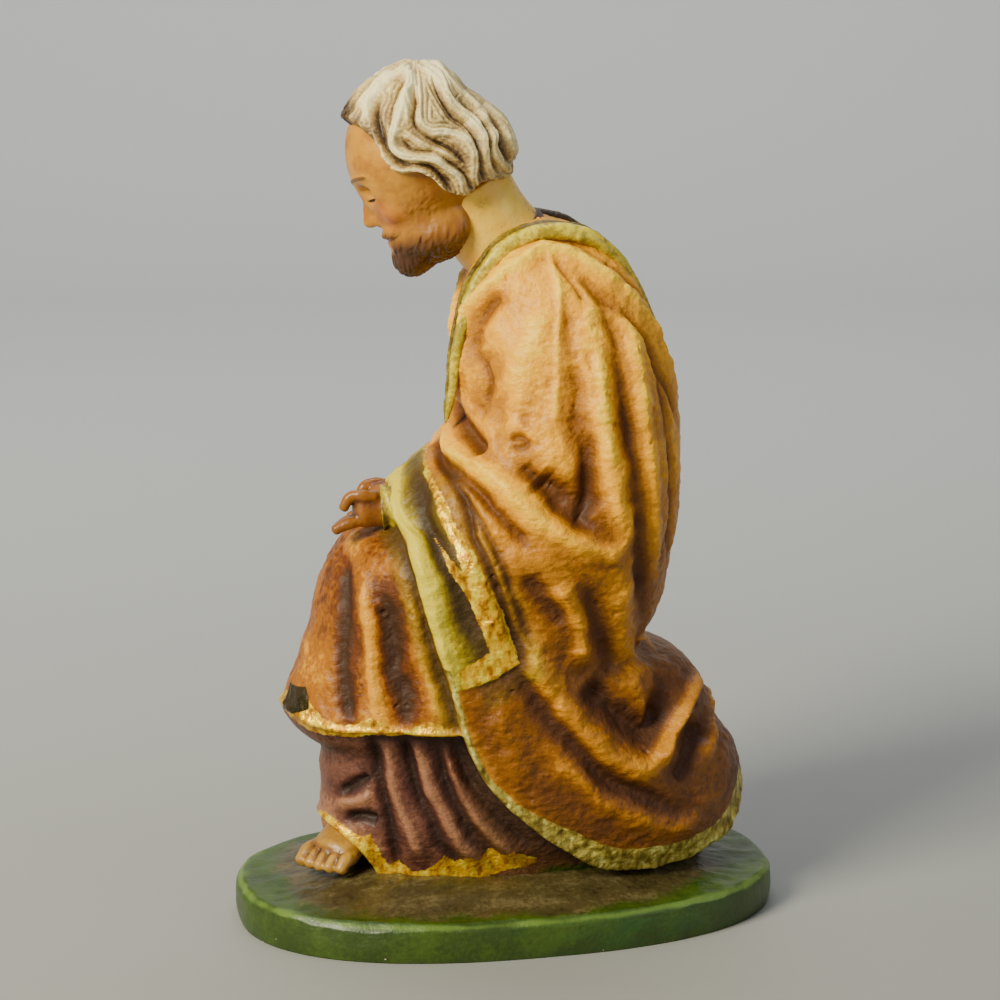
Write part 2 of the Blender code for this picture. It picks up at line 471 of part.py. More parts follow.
def roll_grids():
    """The mantle's rolled edge on both sides: a flattened roll that lies on the body from chest to back."""
    grids = []
    left = smooth_path(ROLL, 56)
    half_width = left[:, 3] * rounded_ends(56, 0.06)
    for mirror in (1, -1):
        path = turned(left[:, :3] * (1, mirror, 1))
        outward = path - ROLL_AROUND
        outward /= np.linalg.norm(outward, axis=1, keepdims=True)
        grids.append(tube_grid(path, half_width, ROLL_FLATNESS * half_width, outward, 10))
    return grids


def neck_grids():
    """The neck, and the tunic's standing collar round its foot."""
    path = smooth_path([place for place, _ in NECK], 12)
    size = np.linspace(NECK[0][1], NECK[-1][1], 12)
    up = np.tile((0.0, 0.0, 1.0), (12, 1))
    collar = smooth_path(COLLAR, 8)
    ring = np.full(8, COLLAR_RADIUS)
    return [tube_grid(path, size, size, up, 20), tube_grid(collar, ring, ring, up[:8], 20)]


def base_grid(rows=9, columns=72):
    """The base: an oval disc with a worn edge and a low mound on top. It runs on below z = 0, to be cut."""
    turn = np.linspace(0, 2 * math.pi, columns, endpoint=False)
    power = 2.0 / BASE_SQUARENESS
    oval = np.stack([np.sign(np.cos(turn)) * np.abs(np.cos(turn)) ** power * BASE_LENGTH / 2,
                     np.sign(np.sin(turn)) * np.abs(np.sin(turn)) ** power * BASE_DEPTH / 2], axis=1)
    inset = RIM_ROUNDING / (BASE_DEPTH / 2)
    profile = [(1.0, -0.5 * RIM_HEIGHT), (1.0, 0.0), (1.0, RIM_HEIGHT - RIM_ROUNDING),
               (1 - 0.3 * inset, RIM_HEIGHT - 0.3 * RIM_ROUNDING), (1 - inset, RIM_HEIGHT),
               (0.86, RIM_HEIGHT + 0.25 * MOUND_HEIGHT), (0.7, RIM_HEIGHT + 0.7 * MOUND_HEIGHT),
               (0.5, RIM_HEIGHT + MOUND_HEIGHT), (0.01, RIM_HEIGHT + MOUND_HEIGHT)]
    rings = [np.column_stack([oval * share, np.full(columns, z)]) for share, z in profile]
    return np.array(rings)


def to_metres(grid):
    """Units to metres, with the figure set down on the base's rim."""
    return (np.asarray(grid) - (0, 0, GROUND_LEVEL)) * UNIT + (0, 0, RIM_HEIGHT)


def shell_from(grid, first):
    """Vertices and faces of a closed shell: quads between rings, and a fan to the middle of each end ring."""
    rows, columns = grid.shape[:2]
    points = np.concatenate([grid.reshape(-1, 3), grid[:1].mean(1), grid[-1:].mean(1)])
    column = np.arange(columns)
    beside = (column + 1) % columns
    ring = (np.arange(rows - 1) * columns)[:, None]
    above = ring + columns
    quads = np.stack([ring + column, ring + beside, above + beside, above + column], axis=-1)
    low, high = rows * columns, rows * columns + 1
    top = (rows - 1) * columns
    fans = [(beside[k], column[k], low) for k in range(columns)]
    fans += [(top + column[k], top + beside[k], high) for k in range(columns)]
    faces = [tuple(q) for q in (quads.reshape(-1, 4) + first).tolist()]
    faces += [tuple(int(v) + first for v in f) for f in fans]
    return points, faces


def joined_mesh(name, grids):
    """One mesh that holds every closed shell."""
    points, faces, first = [], [], 0
    for grid in grids:
        shell_points, shell_faces = shell_from(grid, first)
        points.append(shell_points)
        faces += shell_faces
        first += len(shell_points)
    mesh = bpy.data.meshes.new(name)
    mesh.from_pydata(np.concatenate(points).tolist(), [], faces)
    mesh.update()
    return mesh


def painted(name, colour, roughness):
    """A plain painted finish."""
    material = bpy.data.materials.new(name)
    material.use_nodes = True
    shader = material.node_tree.nodes["Principled BSDF"]
    shader.inputs["Base Color"].default_value = (*colour, 1.0)
    shader.inputs["Roughness"].default_value = roughness
    shader.inputs["Metallic"].default_value = 0.0
    return material


def ground_cutter():
    """A block under z = 0 that cuts the underside of the base flat."""
    size = 2 * BASE_LENGTH
    corners = [(x, y, z) for z in (-size, 0.0) for y in (-size, size) for x in (-size, size)]
    faces = [(0, 2, 3, 1), (4, 5, 7, 6), (0, 1, 5, 4), (2, 6, 7, 3), (0, 4, 6, 2), (1, 3, 7, 5)]
    mesh = bpy.data.meshes.new("ground_cutter")
    mesh.from_pydata(corners, [], faces)
    cutter = bpy.data.objects.new("ground_cutter", mesh)
    cutter.hide_render = True
    cutter.display_type = "WIRE"
    return cutter


def build():
    """Fuses every form into one cast solid and cuts its underside flat."""
    for old in list(bpy.data.objects):
        bpy.data.objects.remove(old)
    forms = [body_grid(300, 220), *roll_grids(), *neck_grids()]
    forms += [from_head(ellipsoid_grid(centre, axes)) for centre, axes in HEAD_FORMS]
    forms += hair_grids() + hand_grids(LEFT_WRIST, -1) + hand_grids(RIGHT_WRIST, 1) + foot_grids()
    grids = [to_metres(grid) for grid in forms] + [base_grid()]
    figure = bpy.data.objects.new("figure", joined_mesh("figure", grids))
    cutter = ground_cutter()
    for made in (figure, cutter):
        bpy.context.scene.collection.objects.link(made)
    figure.data.materials.append(painted("ochre_mantle", (0.62, 0.33, 0.09), 0.5))
    fused = figure.modifiers.new("fused", "REMESH")
    fused.mode = "VOXEL"
    fused.voxel_size = VOXEL
    spare = figure.modifiers.new("spare", "DECIMATE")
    spare.ratio = KEPT_FACES
    flat = figure.modifiers.new("flat_underside", "BOOLEAN")
    flat.operation = "DIFFERENCE"
    flat.object = cutter


build()
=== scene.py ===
"""The looks of a painted chalkware nativity figure: a kneeling, bowed man in a mantle on an oval base.

The figure faces -X and its left side is at -Y. Its forms are worked out in units and then brought to metres:
a unit is a fixed share of the figure's height over the base, as in the cast solid in model.glb.
"""

import math

import bpy
import numpy as np
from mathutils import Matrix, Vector


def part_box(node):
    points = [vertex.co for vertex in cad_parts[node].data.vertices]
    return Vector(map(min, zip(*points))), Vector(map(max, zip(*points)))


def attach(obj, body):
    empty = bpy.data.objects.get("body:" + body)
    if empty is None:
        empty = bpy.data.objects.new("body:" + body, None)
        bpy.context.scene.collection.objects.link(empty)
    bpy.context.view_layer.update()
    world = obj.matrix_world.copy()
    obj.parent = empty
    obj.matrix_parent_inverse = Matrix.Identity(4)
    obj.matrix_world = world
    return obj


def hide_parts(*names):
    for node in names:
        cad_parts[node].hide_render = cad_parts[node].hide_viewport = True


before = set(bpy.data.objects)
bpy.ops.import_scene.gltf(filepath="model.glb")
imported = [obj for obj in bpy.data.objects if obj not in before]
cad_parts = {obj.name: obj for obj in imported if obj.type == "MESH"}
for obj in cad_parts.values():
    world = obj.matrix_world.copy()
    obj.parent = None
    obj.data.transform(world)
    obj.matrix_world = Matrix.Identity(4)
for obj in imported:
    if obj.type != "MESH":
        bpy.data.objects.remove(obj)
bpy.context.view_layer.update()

# Sizes, read from the cast solid or shared with it.
LOW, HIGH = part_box("figure")
BASE_LENGTH = HIGH.x - LOW.x
BASE_DEPTH = HIGH.y - LOW.y
RIM_HEIGHT = 0.0115
MOUND_HEIGHT = 0.0050
BASE_SQUARENESS = 2.35
UNITS_HIGH = 238.5  # the figure over the base's rim, in units
GROUND_LEVEL = 11.5  # the level, in units, that stands on the rim
UNIT = (HIGH.z - RIM_HEIGHT) / UNITS_HIGH

# The robed body by level: level, front, widest place, back, half width on the left and on the right.
BODY_LEVELS = (
    (4, -50.5, 10, 62, 26, 28),
    (17, -52.5, 10, 65.5, 29, 30),
    (24, -55.5, 12, 69.5, 33, 33),
    (31.8, -56, 12, 69, 35.5, 34.5),
    (39, -55.6, 12, 69.5, 36.5, 35),
    (46.6, -55.8, 11, 67, 37, 35),
    (52.5, -56, 9, 63, 37, 35),
    (57.5, -61.6, 6, 60, 37, 35),
    (63.5, -65.6, 3, 57.6, 37, 35),
    (70.5, -63.8, 1, 53.6, 37, 35),
    (74.5, -62.3, 0.2, 49.5, 37, 35),
    (78.5, -60.8, 0, 39, 37, 35),
    (83, -59.2, 0, 37, 37.5, 35),
    (90, -57.2, 1, 41.6, 38.5, 35.5),
    (100.5, -54.2, 4, 44.8, 40.5, 37),
    (109, -50, 8, 45.8, 43, 39),
    (114.5, -44.8, 10, 46.8, 44.5, 40.5),
    (118.5, -38.8, 12, 47.4, 45, 41.5),
    (127, -34.2, 14, 47.6, 45.5, 42.5),
    (133, -30, 15, 47.8, 45.5, 43),
    (139.5, -23.6, 15, 47.8, 45.3, 43),
    (146, -20.8, 15.5, 48.2, 44.8, 42.5),
    (154, -19, 16, 48.5, 44, 42),
    (167, -19.6, 16, 45.2, 42, 40.5),
    (179, -18.4, 14, 40.2, 38, 37),
    (189.3, -15.6, 11, 34.6, 31.5, 31),
    (198, -10.6, 8, 26.5, 22.5, 22.5),
    (203, -6, 5, 17, 15, 15),
    (205, -2, 4.5, 10, 8, 8),
)
BODY_SQUARENESS = 2.15
CHEST_TURN = 0.25
CHEST_TURN_FROM = -17.0

# Folds on the left, as (height, half width, ((x, level), ...)). A furrow has a height under zero.
LEFT_FOLDS = (
    (-2.3, 3.8, ((9.5, 171), (10.2, 162), (10.5, 155), (11.4, 143.5), (12.5, 133), (13.4, 126.5))),
    (-0.9, 3.2, ((7.5, 187), (9.3, 177), (9.8, 169))),
    (-2.3, 3.6, ((17.6, 189.5), (21.5, 181.5), (23.3, 169.8), (24.7, 154.4), (26.7, 138.4), (28.3, 118.4),
                 (30.9, 105), (33.6, 91))),
    (2, 3, ((15.2, 172), (16.8, 160), (18.3, 151), (20.6, 135), (22.5, 123))),
    (1.8, 3, ((27.5, 181), (28.1, 172.2), (29.8, 157.6), (30.5, 138), (33, 122), (36, 105))),
    (-1.9, 2.6, ((34, 174), (35.6, 170.9), (38.1, 156), (39.2, 140), (40.2, 124), (41, 108))),
    (2.2, 2.2, ((-18.8, 152), (-17.8, 159.3), (-16.4, 175.5), (-12.9, 184.4), (-6.3, 191.4), (1.1, 196.3),
                (7, 198.2), (15.5, 196.2), (21.5, 192.2), (30.5, 184.8), (38.9, 172.3), (45, 158))),
    (-1.3, 1.3, ((-19, 150), (-18.6, 162), (-17.8, 170.5), (-16.1, 181.6), (-13.2, 188.2), (-8.7, 193.9),
                 (-2, 199.2), (4.5, 201.2), (10.6, 200.8), (19.8, 197.4), (29.4, 190), (36.7, 182),
                 (43, 172))),
    (-2.1, 3.4, ((-6.8, 188.2), (-10.4, 183.2), (-13.2, 177.8), (-14.2, 171.6), (-13.6, 166))),
    (-1.4, 4.4, ((-12.2, 172), (-11.3, 165), (-12, 158), (-13, 152))),
    (-2.2, 2.8, ((11, 194.5), (17.6, 189.6), (23, 185.2), (28.9, 180.4), (35.2, 171), (40.6, 160),
                 (44.5, 148))),
    (1.4, 4.4, ((1, 184), (-2.5, 170), (-4, 156), (-5, 147))),
    (0.9, 1.3, ((7.8, 197), (7.9, 190), (6.4, 179.3), (5, 162.8), (4.2, 152))),
    (-4.4, 3, ((-18.9, 152.2), (-16.3, 147.6), (-14, 144.2), (-12.8, 142.4))),
    (2.6, 3, ((-21, 144), (-15.5, 141), (-10.4, 137.2), (-1.6, 128.6), (7.4, 122), (13, 118.2),
                (17.9, 115.8))),
    (1.6, 2.6, ((16.5, 115.8), (21.5, 118), (24.2, 124), (24.6, 131))),
    (-2.4, 2.1, ((-24.3, 143), (-21.1, 138.4), (-15.4, 133.2), (-12, 128.8), (-6.7, 123), (-3, 119))),
    (-3.8, 5.4, ((-0.6, 139), (4.5, 134), (10, 129.5), (14.5, 126))),
    (-1.8, 3, ((-3.6, 141.5), (1.5, 135), (8, 128), (15, 122.5))),
    (-1.7, 3.6, ((14.5, 151), (13.5, 143), (14, 134), (15.5, 127))),
    (-1.4, 3.6, ((-4.3, 111.2), (1.3, 103.9), (7.5, 95.6))),
    (2.6, 3, ((4.2, 108.4), (10, 99), (13.2, 90.5), (12.2, 84))),
    (-1.4, 3.4, ((13, 107), (16.4, 98), (20.2, 84.5), (22.5, 76.5))),
    (2.4, 4.4, ((23, 108), (25, 94), (27.5, 84), (30.5, 77.5))),
    (3.8, 4.2, ((-2.2, 90.5), (2.8, 76.5), (10.1, 65.8), (19.4, 55.6), (30.9, 49.4), (36.5, 51))),
    (3.6, 2.4, ((35, 50.5), (39.5, 55), (43.5, 60.5), (49, 66.3), (54.4, 68))),
    (-5.2, 4.6, ((14.9, 77.2), (21.3, 70.3), (29.5, 63), (34, 60), (37.5, 64), (40, 70))),
    (-2.6, 3.2, ((-4.5, 81.3), (0.8, 73.4), (8.6, 62), (20.3, 49.2), (31.8, 41.8), (39.9, 36.6),
                 (46.2, 35.6))),
    (1.6, 3, ((4, 58), (16, 44.5), (30, 35.5), (43, 30), (51, 32))),
    (-2.3, 3.6, ((42.5, 44), (47, 51), (52, 57.5))),
    (1.8, 3, ((51.5, 48), (57, 56), (60, 62))),
    (2, 1.9, ((33, 86), (37.5, 81.5), (40, 77))),
    (1.2, 3.4, ((-10, 74), (-9, 62), (-3, 50))),
    (1.9, 2, ((-27, 141), (-31, 134.5), (-32.2, 125), (-30.8, 116.5), (-28.4, 105), (-25.2, 92.4),
                (-22.2, 82))),
    (-1.8, 3.2, ((-27.4, 134), (-27.6, 124), (-25, 114), (-20.5, 102), (-17, 90))),
    (-1.6, 1.5, ((-24.7, 143), (-21.4, 135.5), (-18.9, 128.5), (-15.8, 118.5), (-11.6, 108),
                 (-6.9, 94), (-4, 85))),
    (-1.5, 1.5, ((-19.7, 133), (-14.2, 122.5), (-9.3, 110.6), (-4.5, 97.6), (-1.8, 90))),
    (1.1, 1.6, ((-17, 126), (-12.6, 115.5), (-8.4, 104.5), (-4.6, 92.5))),
    (-1.7, 3, ((-49, 111), (-50, 102.7), (-51.2, 90.6), (-51.6, 77.6), (-50.6, 65))),
    (1.6, 2.2, ((-45.6, 108), (-45, 93.2), (-43.8, 77.7), (-43, 65))),
    (-2.2, 3.8, ((-40.2, 104), (-40, 96), (-38.8, 83.2), (-36.9, 74.3), (-35.4, 65))),
    (1.4, 2.6, ((-36.6, 111), (-33.6, 98.7), (-29.6, 80), (-27, 66))),
    (-2, 2, ((-45.5, 60.4), (-43.5, 47), (-42.2, 38.5), (-39.5, 27), (-37.5, 17))),
    (1.6, 2, ((-41.3, 58), (-39, 45), (-36.5, 35), (-31, 22))),
    (-2, 2.2, ((-37, 61), (-34.8, 52), (-32.6, 44), (-28.5, 33), (-24.5, 24.5), (-20, 18))),
    (1.6, 2, ((-32.6, 58), (-29.6, 47), (-26, 38), (-20.5, 28), (-15, 20))),
    (-1.9, 2.2, ((-28.2, 60), (-25, 48), (-21.8, 39.5), (-17.5, 31), (-12.5, 24), (-8, 18))),
    (1.5, 1.8, ((-25.3, 57), (-21.8, 46), (-16.5, 36.5), (-9.5, 28), (-4, 22))),
    (-1.4, 1.8, ((-22.9, 60), (-18, 47.4), (-11, 38), (-3.4, 29.8), (1, 25))),
)

# Folds on the right, plainer: the mantle falls from the shoulder and drapes the bent right leg.
RIGHT_FOLDS = (
    (-3, 2.8, ((20, 188), (25, 172), (28, 150), (29, 122), (27, 98))),
    (-2.6, 2.8, ((4, 178), (4, 158), (8, 138))),
    (1.8, 3.4, ((12, 182), (15, 160), (19, 138), (20, 112))),
    (1.8, 3.2, ((32, 176), (37, 152), (37.5, 126), (35, 104))),
    (1.9, 2.2, ((-20.2, 166), (-18.5, 180.6), (-11.9, 192.8), (2.1, 199.5), (11.3, 200), (20.2, 196),
                (30.1, 187.5), (40.9, 173.5), (47.5, 158))),
    (2.6, 3.6, ((-24, 140), (-12, 129), (2, 120), (17, 114))),
    (-3.4, 2.8, ((-20, 130), (-8, 119), (5, 111))),
    (-3.8, 4.6, ((0, 138), (8, 129), (15, 123))),
    (2.6, 3.4, ((-8, 108), (2, 88), (16, 70), (34, 56), (48, 52))),
    (-3, 3, ((-16, 100), (-6, 80), (8, 62), (26, 47), (44, 40))),
    (2.2, 3.2, ((-24, 96), (-18, 74), (-6, 54), (12, 38), (34, 29))),
    (-4, 4, ((18, 84), (27, 72), (37, 66), (44, 72))),
    (-2.2, 2.6, ((-50, 104), (-50.5, 84), (-49, 65))),
    (-2.2, 2.6, ((-38, 106), (-37.5, 84), (-34, 65))),
    (1.6, 2.6, ((-44, 108), (-44.5, 86), (-42, 65))),
    (-2.2, 1.7, ((-42, 58), (-40, 40), (-37, 18))),
    (-2.2, 1.7, ((-33, 58), (-30, 40), (-25, 18))),
    (1.5, 1.9, ((-37.5, 57), (-35, 40), (-31, 18))),
    (-2, 1.8, ((-24, 56), (-20, 38), (-13, 18))),
)

# Small marks of the cast on the left: a pitted scar, a scooped hollow, dents, and two hollows by the foot.
LEFT_MARKS = (
    (-1.3, 1.3, ((-6.6, 147), (-4.6, 148.4), (-2.4, 147.2), (-4.6, 145.4), (-6.4, 146.6))),
    (-0.7, 1.8, ((-3.2, 155), (-2.6, 151))),
    (-1.7, 1.8, ((-4.4, 141), (-2.4, 138), (0.6, 134.5))),
    (-1, 1, ((-42.2, 98.6), (-42, 97.6))),
    (0.8, 1, ((-42.6, 101), (-40.8, 99.4), (-41.2, 96.4))),
    (-1.2, 1.2, ((9, 195.6), (11.4, 190.7), (14.8, 185.6))),
    (-1, 1.4, ((-13, 169), (-11.6, 163), (-12, 158))),
    (-1.2, 1.5, ((14.8, 173), (15.2, 165), (16, 158))),
    (-2.2, 1.8, ((-52.5, 41), (-48.9, 44.6), (-45.8, 48))),
    (-2.4, 1.7, ((-51.5, 34), (-47.7, 35), (-44.3, 34))),
    (1.3, 1.7, ((-53, 37.5), (-48.5, 39.5), (-45, 41))),
)

# Paths on the left along which the paint is darkened, with a share over zero, and lightened, with one under
# zero:
# (share, half width, ((x, level), ...)). The darkening lies in the furrows and pits, partly stain and partly
# painted shade; the lightening is a painted highlight on the lit crests, the shoulder and the top of the
# knee.
STAINS_AND_PAINTED_LIGHT = (
    (0.42, 6, ((9.5, 151), (13.5, 141), (14.5, 130))),
    (0.42, 5, ((-1.5, 140.5), (6, 133.5), (13.5, 126.5))),
    (0.45, 2.4, ((-4.6, 148.5), (-3, 146))),
    (0.35, 2, ((-2.4, 159), (-2.8, 152))),
    (0.34, 4, ((-8, 186), (-12, 175), (-11.6, 158))),
    (0.50, 3.4, ((-19, 152), (-14, 144))),
    (0.20, 8, ((34, 178), (38, 150), (37, 122), (34, 102))),
    (0.26, 2.6, ((22, 182), (24.6, 156), (28, 124), (33, 96))),
    (0.28, 4, ((-3, 109), (6, 97))),
    (0.22, 4, ((14, 106), (20.5, 84))),
    (0.50, 5.6, ((18, 72), (29, 63), (36, 62), (40, 68))),
    (0.36, 4.6, ((44, 44), (52, 56))),
    (0.26, 4, ((-6, 78), (4, 66), (20, 48), (40, 36))),
    (0.30, 5, ((-12, 72), (-9, 58), (0, 44), (14, 32))),
    (0.40, 3.4, ((-40.2, 102), (-38.8, 84), (-36, 68))),
    (0.50, 3, ((-50.4, 104), (-51.2, 84), (-50.6, 66))),
    (0.55, 4.2, ((-27, 134), (-25, 124), (-22, 114))),
    (0.50, 3.4, ((-19, 101), (-16, 92), (-14.5, 86))),
    (0.45, 1.8, ((-24, 142), (-18.8, 128.5), (-11.6, 108), (-3, 84))),
    (0.40, 2.6, ((-52.5, 41), (-46, 48))),
    (0.50, 2.8, ((-51.5, 34), (-44.3, 34))),
    (-0.22, 8, ((-1, 190), (0, 168))),
    (-0.16, 3, ((-20, 143), (-6, 132.5), (8, 121), (18, 116))),
    (-0.16, 2.4, ((16, 182), (18, 158), (21.5, 132))),
    (-0.14, 3, ((3, 76), (14, 61), (31, 49.5), (44, 61))),
    (-0.20, 4, ((-48, 113), (-38, 111))),
    (-0.20, 2, ((-45.4, 104), (-44.2, 84), (-43.2, 68))),
    (-0.18, 3, ((-60, 92), (-60.5, 76))),
)

# Cloth edges, as (x, level). Behind its edge the mantle stands proud of the tunic and of the knee's drape.
MANTLE_EDGE = ((-22, 150), (-25, 145), (-30.4, 139.8), (-33.8, 133), (-34.6, 125.5), (-33.6, 116.4),
               (-31.7, 105.9), (-28.5, 92.4), (-24.6, 80.3), (-22.3, 71), (-19.3, 59.8), (-13.9, 48.5),
               (-4.9, 37.9), (8.9, 26.7), (20.7, 19.5), (30, 17.2), (44.4, 17.4), (57.3, 20.2),
               (66.1, 27), (71.2, 36), (78, 46))
LINING_EDGE = ((-26.6, 144), (-25.2, 133.8), (-22.4, 126.1), (-19.2, 117.9), (-14.9, 109), (-11, 100.5),
               (-6.8, 88.7), (-5, 84.6), (-8.8, 81.4), (-14.5, 78.4), (-21, 76.6))
DRAPE_HEM = ((-70, 66), (-65.2, 64.2), (-60.5, 62.6), (-52.3, 61.9), (-46, 62.4), (-38, 62.8),
             (-30, 62.2), (-20, 62.6))
# How far the mantle and its lining stand out, how far the tunic is tucked in, and the softness of the steps.
EDGE_STEP = 1.6
LINING_STEP = 0.9
TUCK = 4.0
EDGE_SOFTNESS = 0.9

# Painted trims on the left as closed outlines in (x, level), and the depth of the hems by x.
BORDER_GOLD = ((-26.6, 141.6), (-24.6, 133.8), (-21.8, 126.1), (-18.6, 117.9), (-14.2, 109.4), (-10.3, 101),
               (-6, 88.7), (-4.6, 84.6), (-8.4, 81.8), (-14.5, 78.6), (-20.6, 76.9), (-21.6, 82.4),
               (-19.7, 84),
               (-13.4, 88.3), (-16.5, 97.1), (-19.9, 104.5), (-24.1, 110.8), (-26.9, 119.5), (-24.3, 115.5),
               (-20.6, 112), (-22.2, 118), (-24.6, 126.4), (-26, 134))
DRAPE_GOLD = ((-66, 64), (-61.8, 70.6), (-59.9, 68.4), (-57.2, 65.7), (-51.8, 64.6), (-47.9, 66.2),
              (-44.8, 68.2), (-40.1, 65.4), (-36.1, 64.2), (-33, 65.6), (-29.5, 67.6), (-25.6, 66.6),
              (-25, 61), (-40, 60.5), (-52, 59.8), (-60.5, 60.6))
TUNIC_GOLD = ((-57, 31), (-55.4, 33.6), (-52.6, 31.6), (-49.6, 29), (-47, 28.4), (-45.4, 30),
              (-43.8, 25.6), (-42, 20.6), (-39.8, 17.8), (-37, 18.8), (-34, 17.2), (-31.6, 16.4),
              (-27.5, 17.8), (-24.6, 21.6), (-21, 19.6), (-16.8, 22), (-14.2, 20.2), (-10.5, 25),
              (-7.6, 21.8),
              (-4.6, 24), (-1.2, 21.8), (2.8, 20.4), (3.4, 18), (-4, 16.6), (-14, 14.6), (-24, 11),
              (-33, 7), (-43, 5), (-52, 18))
# The tunic's hem over the foot: the cloth is cut back below it, on its left as it runs.
FOOT_HEM = ((-41.4, 10), (-43.4, 15.4), (-46.2, 20.4), (-49.4, 25), (-54.6, 29.8), (-62, 34))
FOOT_RECESS = 7.5
CORNER_PATCH = ((-66.5, 70.5), (-60.6, 73), (-60.9, 67.2), (-66, 63.8))
HEM_DEPTH = ((-23, 1.9), (-18, 2.1), (-12, 2.6), (-5, 3.6), (4, 5.4), (16, 7.4), (34, 8.8),
             (50, 8), (60, 6.4), (72, 4.4))

# The rolled edge of the mantle, from the chest over the shoulder to the middle of the back: x, y, level and
# half width.
ROLL = ((-21.2, -16, 149, 1.3), (-19.6, -16.4, 158, 1.9), (-17.8, -16.8, 172, 2.6),
        (-13.2, -16.6, 187.6, 3.3), (-4, -15.8, 198.8, 3.9), (8, -15.4, 202.6, 4.2), (20.6, -14, 200.4, 4),
        (30.4, -11.2, 192.4, 3.4), (38.6, -8, 179.4, 2.7), (43.8, -5, 167.6, 2.2), (46.8, -2.5, 157.2, 1.8),
        (48, -0.5, 146, 1.5))
ROLL_FLATNESS = 0.62  # its thickness as a share of its width
ROLL_AROUND = (12, 0, 165)  # the point that it faces away from

# The head: its centre, size, bow and turn.
HEAD_CENTRE = (-23.3, 0, 222.6)
HEAD_SIZE = 1.08
BOW = math.radians(26)
TURN = math.radians(12)
FLESH_SOFTNESS = 0.55  # how far the head's forms melt into each other
FACE_RAYS_FROM = (1, 0, -5)
# Rounded forms of the head, as centre and half axes in the head's own forward, left and up. The last number
# is 1 for a form that adds and -1 for one that hollows out. A form on the left has a twin on the right.
HEAD_FORMS = (
    ((1, 0, 1.5), (18.8, 16.8, 20), 1),
    ((4.2, 0, -6), (14.6, 12.6, 19), 1),
    ((7, 0, -17), (11.4, 10.2, 8.6), 1),
    ((13.6, 0, -22), (5.6, 6.6, 4.8), 1),
    ((4, 8.4, -17.6), (8, 4.2, 6.2), 1),
    ((5, 0, -21), (10, 8.4, 4.8), 1),
    ((14.6, 0, 2.4), (4.2, 9.6, 2.6), 1),
    ((11.4, 7.4, -8), (4.4, 4.6, 4.4), 1),
    ((19.6, 6.9, -1.9), (4.6, 4, 2.9), -1),
    ((13.7, 6.2, -2.5), (3, 3.5, 2.7), 1),
    ((16.4, 0, -2), (2.6, 1.7, 6.6), 1),
    ((18.2, 0, -7.2), (2.6, 1.8, 3.2), 1),
    ((19, 0, -9.2), (3, 2.3, 2.1), 1),
    ((16.9, 2.5, -10), (2.4, 1.5, 1.6), 1),
    ((18.6, 1.3, -11.8), (1.5, 0.8, 0.9), -1),
    ((14.8, 3.6, -13.4), (3.2, 3.8, 1.5), 1),
    ((15.9, 0, -14.6), (2.5, 3.6, 1.15), 1),
    ((15.7, 0, -17), (2.5, 3.2, 1.3), 1),
)
# Hair: the form that the waved locks lie on, and how far it reaches over the brow and the nape.
HAIR_CENTRE = (-1.8, 0, 1.6)
HAIR_AXES = (21.6, 18.8, 21.4)
# The hair's profile seen from the side: degrees up from straight ahead, and its share of the oval form.
HAIR_PROFILE = ((-90, 1), (0, 1), (38, 1.06), (52, 1.11), (64, 1.11), (80, 1.072), (99, 1.075), (113, 1.01),
                (136, 0.94), (150, 0.87), (167, 0.865), (185, 0.975), (198, 1.04), (210, 1.05),
                (235, 1.02), (270, 1))
CROWN = (-6, 22.6)
# The hairline on each side, as forward and up: brow, temple, over the ear, nape.
HAIRLINE = ((24, 17.6), (16, 18), (11.4, 15.6), (9, 9.6), (8.8, 4), (6.4, 0.2), (2.4, -1.4), (-0.4, -4.8),
            (-1.6, -9.4), (-5.8, -12.8), (-10.6, -11.8), (-15, -13.6), (-20, -15.6), (-26, -16.4))
